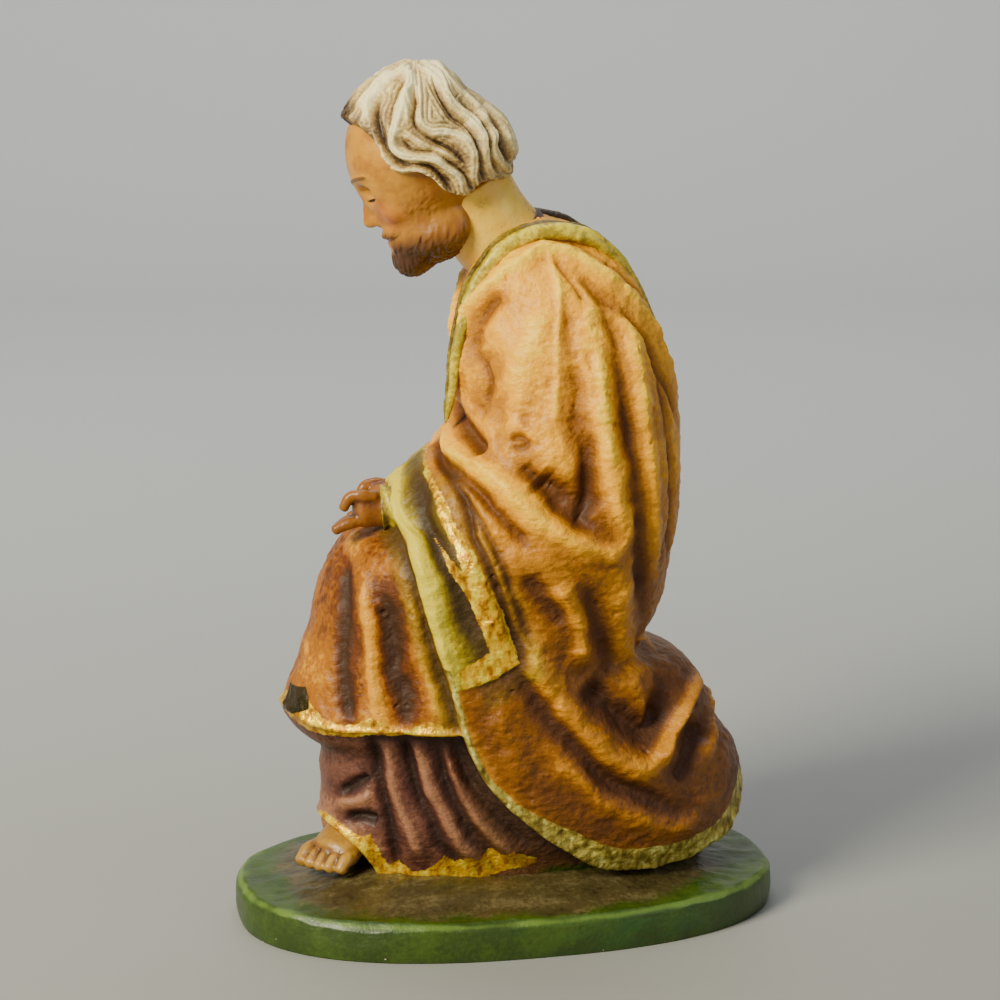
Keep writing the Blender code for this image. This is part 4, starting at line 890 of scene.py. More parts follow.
def add_neck(skin, cloth):
    """The neck, a round tube along a smooth path, and the tunic's standing collar, a wider tube round it."""
    count, sides = round(60 * DETAIL), round(120 * DETAIL)
    path = smooth_path([place for place, _ in NECK], count)
    size = np.linspace(NECK[0][1], NECK[-1][1], count)
    up = np.tile((0.0, 0.0, 1.0), (count, 1))
    grid = tube_grid(path, size, size, up, sides)
    grid += 0.3 * rough(grid, 8.0, 3, 4)[..., None] * surface_normals(grid)
    shell_piece("neck", grid, skin, {"ridge": 0.3 * rough(grid, 8.0, 3, 4)})
    collar = smooth_path(COLLAR, count)
    ring = COLLAR_RADIUS + 0.5 * np.sin(np.linspace(0, math.pi, count))
    grid = tube_grid(collar, ring, ring, up, sides)
    grid += 0.4 * rough(grid, 5.0, 3, 6)[..., None] * surface_normals(grid)
    shell_piece("collar", grid, cloth, {"ridge": 0.4 * rough(grid, 5.0, 3, 6)})


# The head

def from_head(points):
    """The head's own forward, left and up as x, y and level: bowed forward, then turned to its right."""
    forward, left, up = np.moveaxis(np.asarray(points, float) * HEAD_SIZE, -1, 0)
    ahead = forward * math.cos(BOW) + up * math.sin(BOW)
    level = up * math.cos(BOW) - forward * math.sin(BOW)
    x = -ahead * math.cos(TURN) - left * math.sin(TURN)
    y = ahead * math.sin(TURN) - left * math.cos(TURN)
    return np.stack([x, y, level], axis=-1) + np.asarray(HEAD_CENTRE)


def form_distance(points, centre, axes):
    """About how far points are outside an ellipsoid, negative inside it."""
    away = (points - np.asarray(centre)) / np.asarray(axes)
    near = np.sqrt((away**2).sum(axis=-1)) + 1e-9
    steep = np.sqrt(((away / np.asarray(axes)) ** 2).sum(axis=-1)) + 1e-9
    return near * (near - 1) / steep


def with_twins(forms):
    """The forms, and behind each one left of the middle its mirror image on the right."""
    for (forward, left, up), axes, kind in forms:
        yield (forward, left, up), axes, kind
        if left > 0:
            yield (forward, -left, up), axes, kind


def blended_distance(points, forms, softness):
    """Distance to the forms melted together: a soft minimum over those that add, and a soft maximum with
    those that hollow out."""
    total = np.zeros(points.shape[:-1])
    for centre, axes, kind in forms:
        if kind > 0:
            total += np.exp(-form_distance(points, centre, axes) / softness)
    distance = -softness * np.log(total + 1e-300)
    for centre, axes, kind in forms:
        if kind < 0:
            hollow = -form_distance(points, centre, axes)
            distance = softness * np.logaddexp(distance / softness, hollow / softness)
    return distance


def reach_along(start, directions, forms, softness):
    """How far rays from a point inside go to the blended forms' surface: they walk in from outside it."""
    reach = np.full(directions.shape[:-1], 36.0)
    for _ in range(30):
        reach -= 0.85 * blended_distance(start + directions * reach[..., None], forms, softness)
    return reach


def ray_directions(turns, rises):
    """Unit directions from turns about the up axis, 0 forward and left positive, and rises over the level."""
    turn, rise = np.meshgrid(turns, rises)
    return np.stack([np.cos(rise) * np.cos(turn), np.cos(rise) * np.sin(turn), np.sin(rise)], axis=-1)


def crowded(count, share):
    """Turns once round, crowded towards 0: a full circle less share times its sine."""
    t = np.linspace(0, 2 * math.pi, count, endpoint=False)
    return t - share * np.sin(t)


def mark(points, place, size):
    """1 at a place of the head, falling off in a bell of the given forward, left and up sizes."""
    return np.exp(-(((points - np.asarray(place)) / np.asarray(size)) ** 2).sum(axis=-1))


def add_head(material):
    """The head and face: rays from inside it to forms melted together, with lids, lips and a short beard
    added as heights along the rays."""
    rises = np.linspace(-0.495 * math.pi, 0.495 * math.pi, round(240 * DETAIL))
    directions = ray_directions(crowded(round(240 * DETAIL), 0.72), rises)
    start = np.array(FACE_RAYS_FROM)
    reach = reach_along(start, directions, list(with_twins(HEAD_FORMS)), FLESH_SOFTNESS)
    points = start + directions * reach[..., None]
    forward, left, up = np.moveaxis(points, -1, 0)
    side = np.abs(left)
    front = rise_over(forward, 8.0, 12.0)
    lid_line = -4.05 + 0.055 * (side - 6.2) ** 2 + 0.05 * (side - 6.2)
    eye = np.exp(-(((side - 6.3) / 3.3) ** 4)) * front
    lash = hump(up - lid_line, 0.42) * eye
    lid_fold = hump(up - lid_line, 0.5, 2.6) * eye
    brow_line = 2.2 + 0.10 * side - 0.03 * (side - 6.0) ** 2
    brow = hump(up - brow_line, 0.75) * rise_over(side, 1.6, 3.0) * (1 - rise_over(side, 10, 12.5)) * front
    mouth = hump(up + 15.75 + 0.03 * side**2, 0.42) * (1 - rise_over(side, 3.2, 4.6)) * front
    beard = beard_share(forward, side, up)
    tufts = combed(points, 1.7, 51) + 0.6 * combed(points, 0.9, 53)
    height = 0.45 * brow - 0.5 * lash - 0.35 * lid_fold - 0.7 * mouth + 0.62 * beard * (tufts + 0.25)
    height += 0.22 * rough(points, 6.0, 3, 41) * (1 - 0.6 * front) + 0.07 * rough(points, 1.6, 2, 43)
    points = points + directions * height[..., None]
    values = {
        "ridge": height,
        "lash": lash,
        "brow": brow,
        "lips": hump(up, 1.9, -15.9) * (1 - rise_over(side, 2.6, 4.4)) * front,
        "cheek": mark(np.abs(points), (13.5, 8.6, 8.4), (5.0, 4.2, 4.4)) * (up < 0),
        "beard": beard,
        "tuft": tufts * beard,
    }
    shell_piece("head", from_head(points), material, values)


def beard_share(forward, side, up):
    """Where the short beard grows: the chin and jaw, up the cheek to the temple, and over the lip."""
    jaw = rise_over(-up, 13.0, 18.5) * rise_over(forward, -6.0, 0.0)
    side_line = 0.45 * rise_over(-up, 3.0, 8.0) * rise_over(side, 8.6, 11.0)
    side_line *= rise_over(-np.abs(forward - 5.5), -6.5, -3.5)
    over_lip = hump(up + 13.2 + 0.12 * side, 1.1) * rise_over(side, 0.7, 2.0)
    over_lip *= (1 - rise_over(side, 6.5, 9.0)) * rise_over(forward, 10.0, 12.0)
    below = rise_over(-up, 18.0, 19.4)
    lips = (1 - rise_over(side, 3.4, 4.6)) * rise_over(forward, 12.0, 14.0) * (1 - below)
    lower = np.maximum(jaw, side_line) * (1 - lips)
    return np.clip(np.maximum(lower, over_lip), 0, 1)


def combed(points, size, seed):
    """Ridges of hair, drawn out down and forward: noise on points squeezed along the comb's way."""
    forward, left, up = np.moveaxis(points, -1, 0)
    down = -0.86 * up + 0.5 * forward
    across = 0.5 * up + 0.86 * forward
    bent = across + 0.5 * np.sin(down / 2.4 + 0.6 * left)
    noise = lattice_noise(np.stack([bent, left, down / 5.0], axis=-1), size, seed)
    return 1 - 2.6 * np.abs(noise)


# The hair

def hair_profile(directions):
    """The share of the oval form that the hair reaches in a direction: the profile's, and 1 sideways."""
    degrees, share = np.transpose(HAIR_PROFILE)
    angle = np.degrees(np.arctan2(directions[..., 2], directions[..., 0]))
    angle = np.where(angle < -90, angle + 360, angle)
    in_profile = np.hypot(directions[..., 0], directions[..., 2])
    return 1 + in_profile * (np.interp(angle, degrees, share) - 1)


def strand_place(points):
    """A number that stays nearly the same along a strand: the bearing from the crown, drawn forward below the
    crown and swept back towards the nape, with a growing wave."""
    away = points - np.asarray((CROWN[0], 0.0, CROWN[1]))
    fall = np.arctan2(np.hypot(away[..., 0], away[..., 1]), 14.0 - away[..., 2]) / 1.2
    bearing = np.arctan2(away[..., 1], away[..., 0])
    down = np.clip(-away[..., 2] / 34.0, 0, 1)
    swept = 0.55 * np.sin(math.pi * np.clip(down * 1.25, 0, 1)) - 1.1 * rise_over(down, 0.45, 1.0)
    wave = 0.13 * np.sin(down * 15.0 + 2.0 * np.abs(bearing)) * np.sqrt(down)
    return np.abs(bearing) + (swept + wave) * np.sin(np.abs(bearing)) + 0.06 * fall


def lock_heights(points, side):
    """Heights of the locks on one side, the strands along them, and where these hold. The locks are bells
    across their paths, which run in the head's forward-up plane. The strands are ridges side by side, by the
    distance to the nearest path."""
    forward, left, up = points.T
    plane = np.stack([forward, up], axis=1)
    total, nearest, across = np.zeros(len(points)), np.full(len(points), STRAND_REACH), np.zeros(len(points))
    mine = left * side > -1.5
    for height, half_width, places in LOCKS:
        path = smooth_path(places, 4 * len(places))
        low, high = path.min(axis=0) - STRAND_REACH, path.max(axis=0) + STRAND_REACH
        near = np.flatnonzero(mine & ((plane > low) & (plane < high)).all(axis=1))
        distance, share, part = nearest_on(path, plane[near])
        ends = np.clip(share * 8 + 0.1, 0, 1) * np.clip((1 - share) * 9 + 0.35, 0, 1)
        wide = half_width * (0.8 + 0.5 * np.sin(share * 9.0 + places[0][0]) ** 2)
        total[near] += ends * bell(distance, wide, height)
        closer = distance < nearest[near]
        nearest[near[closer]] = distance[closer]
        across[near[closer]] = (distance * part)[closer]
    wander = 0.45 * rough(points, 5.0, 2, 69)
    strands = np.abs(np.sin(math.pi * (across + wander) / STRAND_SPACING)) - 0.6
    held = 1 - rise_over(nearest, 0.6 * STRAND_REACH, STRAND_REACH)
    mine_share = rise_over(side * left, -1.5, 1.5)
    return total * mine_share, strands * held * mine_share, held * mine_share


def add_hair(material):
    """The hair: rays from inside it to an oval form, raised by locks and fine strands, and sunk into the head
    beyond the hairline."""
    rises = np.linspace(-0.32 * math.pi, 0.495 * math.pi, round(265 * DETAIL))
    directions = ray_directions(np.linspace(0, 2 * math.pi, round(340 * DETAIL), endpoint=False), rises)
    axes = np.asarray(HAIR_AXES)
    reach = 1 / np.sqrt(((directions / axes) ** 2).sum(axis=-1)) * hair_profile(directions)
    points = np.asarray(HAIR_CENTRE) + directions * reach[..., None]
    flat = points.reshape(-1, 3)
    strand = strand_place(flat)
    bunch = lattice_noise(np.stack([strand * 3.0, flat[:, 2] / 14.0, flat[:, 1] / 30.0], axis=1), 1.0, 61)
    fine = np.abs(np.sin(strand * STRANDS / 2 + 2.4 * bunch + 0.5 * rough(flat, 7.0, 2, 63)))
    finer = lattice_noise(np.stack([strand * 26.0, flat[:, 2] / 5.0, flat[:, 1] / 9.0], axis=1), 1.0, 65)
    left_locks, left_strands, left_held = lock_heights(flat, 1)
    right_locks, right_strands, right_held = lock_heights(flat, -1)
    locks, held = left_locks + right_locks, np.clip(left_held + right_held, 0, 1)
    swell = 0.7 * np.sin(strand * 9.0 + 3.0 * bunch)
    strands = (0.42 * (fine - 0.5) + 0.3 * finer) * (1 - held) + 0.55 * (left_strands + right_strands)
    strands += 0.16 * rough(flat, 1.6, 2, 67)
    swell = swell * (1 - 0.7 * held)
    inside = -edge_side(np.stack([flat[:, 0], flat[:, 2]], axis=1), HAIRLINE)
    inside = inside + 0.9 * bunch + 0.5 * (fine - 0.5)
    shown = rise_over(inside, -1.3, 1.1)
    height = (locks + 0.6 * swell + strands) * rise_over(inside, -0.6, 1.6) - 4.5 * (1 - shown)
    thick = 0.5 * hump(inside, 1.6, 1.5)
    raised = flat + directions.reshape(-1, 3) * (height + thick)[:, None]
    shape = points.shape[:2]
    over_brow = rise_over(flat[:, 0], 6.0, 13.0) * (1 - rise_over(inside, 3.0, 9.0))
    values = {"ridge": (locks + 0.6 * swell + 1.2 * strands).reshape(shape), "brow": over_brow.reshape(shape)}
    shell_piece("hair", from_head(raised.reshape(points.shape)), material, values)


# Hands and foot

def finger_grid(places, radius, outward, taper=0.85):
    """A finger: a round tube through its joints, swelling at them, with a rounded tip."""
    count = 26
    path = smooth_path(places, count)
    t = np.linspace(0, 1, count)
    size = radius * rounded_ends(count, 0.18) * (1 + (taper - 1) * t) * (1 + 0.06 * np.cos(4 * math.pi * t))
    return tube_grid(path, size, size, np.tile(outward, (count, 1)), 20)


def hand_grids(wrist, side):
    """A hand half closed over the knee: palm, three fingers laid forward, one curled, and the thumb."""
    out = np.array([0.0, float(side), 0.25])
    wrist = np.asarray(wrist, float)
    facing = np.tile(out, (20, 1))
    full = rounded_ends(20, 0.22)
    palm = smooth_path((wrist + (3, side, 0), wrist + (-4, 0, 0), wrist + (-9.0, 0, -1.0)), 20)
    grids = [tube_grid(palm, 5.2 * full, 3.8 * full, facing, 28)]
    for k in range(3):
        root = wrist + (-6.0, side * (1.6 - 2.4 * k), -2.6 - 0.4 * k)
        grids.append(finger_grid((root, root + (-4.5, 0, -1.0), root + (-9.4 + 0.8 * k, 0, -3.2)), 1.9, out))
    knuckle = wrist + (-6.0, side * 1.0, 2.8)
    grids.append(finger_grid((knuckle, knuckle + (-4.0, 0, 0.8), knuckle + (-6.2, 0, -3.0)), 1.8, out))
    thumb = wrist + (-2.0, side * 2.0, 3.6)
    grids.append(finger_grid((thumb, thumb + (-5.0, 0.0, 0.8), thumb + (-8.6, -side * 1.4, 0.6)), 1.8, out))
    return grids


def add_hands(skin, cloth):
    """Both hands, and the sleeves' cuffs behind them: tubes that narrow to the wrist, with waves."""
    for name, wrist, side in (("left", LEFT_WRIST, -1), ("right", RIGHT_WRIST, 1)):
        fused_piece(name + "_hand", hand_grids(wrist, side), FUSED_VOXEL, 6, skin,
                    lambda units: 0.14 * rough(units, 2.4, 3, 71))
        wrist = np.asarray(wrist, float)
        count = round(50 * DETAIL)
        path = smooth_path((wrist + (12, side * 4, 2), wrist + (4, side, 0.5), wrist + (-0.5, 0, 0)), count)
        size = np.linspace(7.6, 6.2, count)
        grid = tube_grid(path, size, size, np.tile((0.0, side, 0.25), (count, 1)), round(90 * DETAIL))
        marks = 0.6 * rough(grid, 5.0, 3, 73) + 0.5 * np.sin(grid[..., 0] * 1.5 + 0.4 * grid[..., 2])
        grid += marks[..., None] * surface_normals(grid)
        shell_piece(name + "_cuff", grid, cloth, {"ridge": marks, "seam": 1.0 + 0 * marks})


def add_foot(skin):
    """The left foot, turned out: the instep under the hem and five toes side by side, each with a nail."""
    ahead = np.array([-math.cos(FOOT_HEADING), -math.sin(FOOT_HEADING), 0.0])
    across = np.array([-math.sin(FOOT_HEADING), math.cos(FOOT_HEADING), 0.0])
    up = np.array([0.0, 0.0, 1.0])
    ankle = np.array(ANKLE)
    full = rounded_ends(20, 0.25)
    instep = smooth_path((ankle + 6 * up, ankle + 6 * ahead + 2.5 * up, ankle + 13 * ahead - 2.0 * up), 20)
    grids = [tube_grid(instep, 8.2 * full, 5.2 * full, np.tile(up, (20, 1)), 30)]
    for k in range(5):
        place = (k - 2.0) * 3.5
        size = 2.4 if k == 4 else 1.9
        length = 9.8 - 0.28 * (2.6 - k) ** 2
        start = ankle + 8 * ahead + place * across + 0.8 * up
        tip = start + length * ahead - 4.2 * up
        grids.append(finger_grid((start, start + length * 0.6 * ahead - 1.0 * up, tip), size, up, 1.0))
        nail = tip + 0.2 * up - 1.2 * ahead + (size - 0.5) * up
        nail_ends = nail - 1.1 * ahead + 0.3 * up, nail + ahead - 0.5 * up
        grids.append(finger_grid((nail_ends[0], nail, nail_ends[1]), 0.75, up, 1.0))
    fused_piece("left_foot", grids, FUSED_VOXEL, 5, skin, lambda units: 0.16 * rough(units, 2.6, 3, 81))


# The base

def add_base(material):
    """The base: an oval disc whose wall and worn edge are pared in facets, with a low, rough mound on top."""
    columns = round(380 * DETAIL)
    turn = np.linspace(0, 2 * math.pi, columns, endpoint=False)
    power = 2.0 / BASE_SQUARENESS
    oval = np.stack([np.sign(np.cos(turn)) * np.abs(np.cos(turn)) ** power * BASE_LENGTH / 2,
                     np.sign(np.sin(turn)) * np.abs(np.sin(turn)) ** power * BASE_DEPTH / 2], axis=1) * 1000
    rim = RIM_HEIGHT * 1000
    flat = np.column_stack([oval, np.zeros(columns)])
    chamfer = 2.0 + 1.6 * lattice_noise(flat, 22.0, 91) + 1.0 * lattice_noise(flat, 7.0, 92)
    wall = np.linspace(0, 1, round(26 * DETAIL))[:, None]
    shoulder = np.linspace(0, 1, round(12 * DETAIL))[1:, None]
    inward = np.linspace(0, 1, round(50 * DETAIL))[1:, None]
    wall_rise = wall * (rim - 0.9 * chamfer)
    wall_in = 0.9 * (1 - wall) ** 4 + 0.5 * wall**3
    shoulder_rise = rim - 0.9 * chamfer * (1 - shoulder) ** 1.3
    shoulder_in = 0.5 + chamfer * shoulder
    heights = np.concatenate([wall_rise, shoulder_rise, rim + 0 * inward + 0 * turn])
    insets = np.concatenate([wall_in + 0 * turn, shoulder_in, 0.5 + chamfer + inward * 0])
    inner = np.concatenate([0 * wall, 0 * shoulder, inward * 0.985])
    length = np.linalg.norm(oval, axis=1)
    share = (1 - insets / length) * (1 - inner)
    grid = np.stack([oval[:, 0] * share, oval[:, 1] * share, heights], axis=-1)
    mound = rise_over(1 - share, 0.06, 0.5) * MOUND_HEIGHT * 1000
    top = rise_over(1 - share, 0.02, 0.08)
    ground = 0.8 * rough(grid, 11.0, 4, 94) + 0.35 * rough(grid, 2.6, 2, 96)
    grid[..., 2] += mound + ground * top
    pared = 0.55 * lattice_noise(grid * (1, 1, 0.6), 16.0, 97) - 0.5 * np.abs(lattice_noise(grid, 9.0, 98))
    pared += 0.14 * rough(grid, 3.0, 3, 99)
    away = grid[..., :2] / (np.linalg.norm(grid[..., :2], axis=-1, keepdims=True) + 1e-9)
    side = (1 - top) * np.minimum(1, 0.4 + heights / 4.0)
    grid[..., :2] += away * (np.clip(pared, -1.2, 0.3) * side)[..., None]
    edge = hump(heights - rim + 0.4 * chamfer, 1.1) * (1 - top)
    values = {"top": top, "inward": 1 - share, "edge": edge, "ridge": ground * top + pared * (1 - top)}
    quads, fans = ring_faces(*grid.shape[:2])
    piece_from("base", shell_points(grid) / 1000, quads, fans, material, shell_values(values))


# Finishes

def paint(red, green, blue):
    """A paint as it looks, from 0 to 255, as the linear colour that a shader takes: deepened by a power."""
    looks = np.array([red, green, blue]) / 255
    linear = np.where(looks <= 0.04045, looks / 12.92, ((looks + 0.055) / 1.055) ** 2.4)
    return (*(linear**PAINT_DEPTH).tolist(), 1.0)


SHADER_SOCKETS = {"roughness": "Roughness", "ior": "IOR", "coat_weight": "Coat Weight",
                  "coat_roughness": "Coat Roughness"}


class Signal:
    """A socket's value. Python's operators on it add Math nodes."""

    def __init__(self, finish, socket):
        self.finish = finish
        self.socket = socket

    def __add__(self, other):
        return self.finish.maths("ADD", self, other)

    def __sub__(self, other):
        return self.finish.maths("SUBTRACT", self, other)

    def __rsub__(self, other):
        return self.finish.maths("SUBTRACT", other, self)

    def __mul__(self, other):
        return self.finish.maths("MULTIPLY", self, other)

    __radd__ = __add__
    __rmul__ = __mul__

    def above(self, start, end):
        """0 where the value is under start, 1 where it is over end, and a smooth rise between."""
        sockets = {"Value": self, "From Min": start, "From Max": end}
        return self.finish.node("ShaderNodeMapRange", {"interpolation_type": "SMOOTHSTEP"}, sockets)


class Finish:
    """One painted finish: a Principled shader, and the nodes that feed it."""

    def __init__(self, name, **constants):
        self.material = bpy.data.materials.new(name)
        self.material.use_nodes = True
        self.tree = self.material.node_tree
        self.shader = self.tree.nodes["Principled BSDF"]
        for key, value in constants.items():
            self.shader.inputs[SHADER_SOCKETS[key]].default_value = value
        self.place = self.node("ShaderNodeTexCoord", output="Object")

    def node(self, kind, settings=None, sockets=None, output=0):
        """A node of any kind: its settings are set first, then its sockets take values or links."""
        made = self.tree.nodes.new(kind)
        for key, value in (settings or {}).items():
            setattr(made, key, value)
        for key, value in (sockets or {}).items():
            if isinstance(value, Signal):
                self.tree.links.new(value.socket, made.inputs[key])
            else:
                made.inputs[key].default_value = value
        return Signal(self, made.outputs[output])

    def maths(self, operation, first, second):
        """A Math node on two values."""
        return self.node("ShaderNodeMath", {"operation": operation}, {0: first, 1: second})

    def noise(self, size, detail=2.0, stretch=(1, 1, 1)):
        """Noise from 0 to 1 whose marks are about size millimetres across."""
        scaled = self.node("ShaderNodeMapping", {}, {"Vector": self.place, "Scale": stretch})
        sockets = {"Vector": scaled, "Scale": 1000 / size, "Detail": detail, "Roughness": 0.55}
        return self.node("ShaderNodeTexNoise", {}, sockets)

    def value(self, name):
        """A number that the mesh carries for each point."""
        return self.node("ShaderNodeAttribute", {"attribute_name": name}, output="Fac")

    def over(self, under, top, share):
        """The top colour laid over the one under it where share is 1."""
        return self.node("ShaderNodeMix", {"data_type": "RGBA"}, {0: share, 6: under, 7: top}, 2)

    def shaded(self, tone, stops):
        """A colour that runs through the stops, each a tone and a paint, as the tone rises."""
        place, colour = stops[0][0], paint(*stops[0][1])
        for following, top in stops[1:]:
            colour = self.over(colour, paint(*top), tone.above(place, following))
            place = following
        return colour

    def along(self, axis):
        """The place along an axis, in millimetres."""
        return self.node("ShaderNodeSeparateXYZ", {}, {"Vector": self.place}, axis) * 1000.0

    def feed(self, key, signal):
        """Links a signal to one of the shader's inputs."""
        self.tree.links.new(signal.socket, self.shader.inputs[key])

    def painted(self, colour, roughness, height, depth):
        """The material, with its colour, its roughness and a relief finer than the mesh can hold: height is
        from 0 to 1, and depth in millimetres."""
        self.feed("Base Color", colour)
        self.feed("Roughness", roughness)
        self.feed("Normal", self.node("ShaderNodeBump", {}, {"Height": height, "Distance": depth / 1000}))
        return self.material


def rubbed(finish, ridge, crease, grain, blotch):
    """How light the hand-laid paint is, about 0 to 1: dark stain lies in the hollows and is rubbed off the
    crests, unevenly."""
    relief = 0.60 * ridge.above(-2.4, 2.0) + 0.40 * crease.above(-1.0, 0.8)
    return relief + (blotch - 0.5) * 0.6 + (grain - 0.5) * 0.6 - 0.02


def robe_finish():
    """The robe's paints, each laid by the distance to its cloth's edge, with a hand's unsteadiness."""
    finish = Finish("painted_robe", roughness=0.42, ior=1.36, coat_weight=0.05, coat_roughness=0.3)
    ridge, crease = finish.value("ridge"), finish.value("crease")
    grain, blotch = finish.noise(1.5, 5.0), finish.noise(11.0, 4.0)
    unsteady = (finish.noise(3.2, 3.0) - 0.5) * 1.6
    ragged = (finish.noise(2.6, 4.0) - 0.5) * 3.4
    level, mantle, drape = finish.along("Z"), finish.value("mantle"), finish.value("drape")
    # Stain and painted shade darken the furrows on the left; painted highlights lighten its lit crests.
    stain_and_painted_light = finish.value("stain_and_painted_light") * (0.2 + blotch * 0.5 + grain * 0.35)
    tone = rubbed(finish, ridge, crease, grain, blotch) - stain_and_painted_light
    high = level.above(30.0, 200.0)
    # The mantle: its ochre runs lighter towards the shoulder and browner below, partly its own paint and
    # partly painted light from above. It is darker in a band just inside the lower hem.
    inside_hem = mantle.above(2.0, 6.0) * (1.0 - mantle.above(9.0, 19.0)) * (1.0 - level.above(62.0, 80.0))
    colour = finish.shaded(tone * 0.76 + high * 0.66 - inside_hem * 0.1 - 0.12, MANTLE_PAINTS)
    knee = drape.above(-0.2, 0.3) * (1.0 - mantle.above(-0.3, 0.2)) * (1.0 - level.above(132.0, 140.0))
    colour = finish.over(colour, finish.shaded(tone + 0.06, KNEE_PAINTS), knee)
    # The drape is olive beside the mantle's edge. So is the strip beside the turned-over lining.
    beside = mantle.above(-7.5, -3.5) * (1.0 - level.above(132.0, 140.0)) * knee
    colour = finish.over(colour, finish.shaded(tone * 0.6 + 0.16, LINING_PAINTS), beside * 0.6)
    strip = (finish.value("lining") + unsteady + 7.5).above(-1.5, 2.5) * mantle.above(6.0, 9.0)
    colour = finish.over(colour, finish.shaded(tone - 0.08, LINING_PAINTS), strip * 0.5)
    lining = finish.shaded(tone + ridge * 0.14 - 0.06, LINING_PAINTS)
    # The lining goes dark brown where the stain and the painted shade lie deep.
    lining = finish.over(lining, paint(104, 78, 40), (stain_and_painted_light + (grain - 0.5) * 0.5).above(0.1, 0.36) * 0.6)
    colour = finish.over(colour, lining, (finish.value("lining") + unsteady * 0.3).above(-0.2, 0.3))
    # Tunic, browner and lighter towards the back: partly its paint, partly painted light that lifts the shade
    # there.
    tunic = finish.over(finish.shaded(tone + 0.10, TUNIC_PAINTS), finish.shaded(tone + 0.06, EARTH_PAINTS),
                        (finish.along("X") + unsteady * 3.0).above(-26.0, -8.0) * 0.6)
    colour = finish.over(colour, tunic, (finish.value("tunic") + unsteady * 0.2).above(-0.3, 0.2))
    # The green of the base runs up under the mantle's lower hem.
    under_hem = (1.0 - mantle.above(-0.4, 0.0)) * finish.along("X").above(2.0, 10.0)
    under_hem = under_hem * (1.0 - level.above(17.0, 20.0))
    colour = finish.over(colour, finish.shaded(tone, GREEN_PAINTS), under_hem)
    # Bronze paint on the hems and on the lining's border, in short strokes; the brightest streaks are a
    # painted sheen.
    stroke = finish.noise(2.4, 4.0, (1.0, 1.0, 0.5))
    sheen = (stroke - 0.5) * 2.2 + 0.58
    hem = (finish.value("hem") + unsteady * 0.6).above(-0.1, 0.35)
    colour = finish.over(colour, finish.shaded(sheen, HEM_PAINTS), hem)
    gilt = (finish.value("gold") + ragged * 0.45 + (grain - 0.5) * 1.2).above(-0.1, 0.3)
    opening = finish.value("opening")
    gilt = gilt * (1.0 - opening.above(0.2, 0.6))
    colour = finish.over(colour, finish.shaded(sheen, GOLD_PAINTS), gilt)
    # Painted shade in the recess cut back under the foot's hem.
    colour = finish.over(colour, paint(*RECESS_SHADE_PAINT), opening.above(0.1, 0.9))
    patch = (finish.value("patch") + unsteady * 0.3).above(-0.1, 0.2)
    colour = finish.over(colour, paint(*CORNER_PAINT), patch)
    roughness = (grain - 0.5) * 0.4 - gilt * 0.08 + (1.0 - tone.above(0.1, 0.5)) * 0.22 + 0.42
    finish.feed("Metallic", gilt * 0.5 + hem * 0.2)
    relief = finish.noise(0.8, 3.0) * 0.5 + finish.noise(2.2, 4.0, (1, 1, 1.6))
    return finish.painted(colour, roughness, relief, 0.42)


def roll_finish():
    """The mantle's rolled edge and the cuffs: yellow-green on the crest, lighter on the upper side with
    painted light, brown stipple in the hollow, and painted shade in a dark line along the foot, where the
    roll meets the mantle."""
    finish = Finish("painted_lining", roughness=0.42, ior=1.45, coat_weight=0.2, coat_roughness=0.22)
    ridge, grain, blotch = finish.value("ridge"), finish.noise(1.3, 5.0), finish.noise(7.0, 3.0)
    tone = 0.62 * ridge.above(-1.4, 1.2) + (grain - 0.5) * 0.8 + (blotch - 0.5) * 0.7 + 0.34
    # Painted shade: a dark line along the roll's foot, where it meets the mantle.
    foot = 1.0 - (finish.value("seam") + (grain - 0.5) * 0.5).above(0.06, 0.34)
    relief = finish.noise(0.8, 3.0) * 0.5 + finish.noise(2.2, 3.0) * 0.8
    colour = finish.shaded(tone - foot * 0.5, LINING_PAINTS)
    return finish.painted(colour, (grain - 0.5) * 0.35 + 0.44, relief, 0.35)


def cloth_finish(name, stops):
    """Plain painted cloth: lighter on its crests and darker in its hollows."""
    finish = Finish(name, roughness=0.42, ior=1.45, coat_weight=0.2, coat_roughness=0.22)
    ridge, grain, blotch = finish.value("ridge"), finish.noise(1.3, 4.0), finish.noise(9.0, 3.0)
    tone = 0.6 * ridge.above(-1.0, 1.0) + (grain - 0.5) * 0.7 + (blotch - 0.5) * 0.8 + 0.2
    relief = finish.noise(0.8, 3.0) * 0.6 + finish.noise(2.2, 3.0) * 0.7
    return finish.painted(finish.shaded(tone, stops), (grain - 0.5) * 0.35 + 0.44, relief, 0.3)


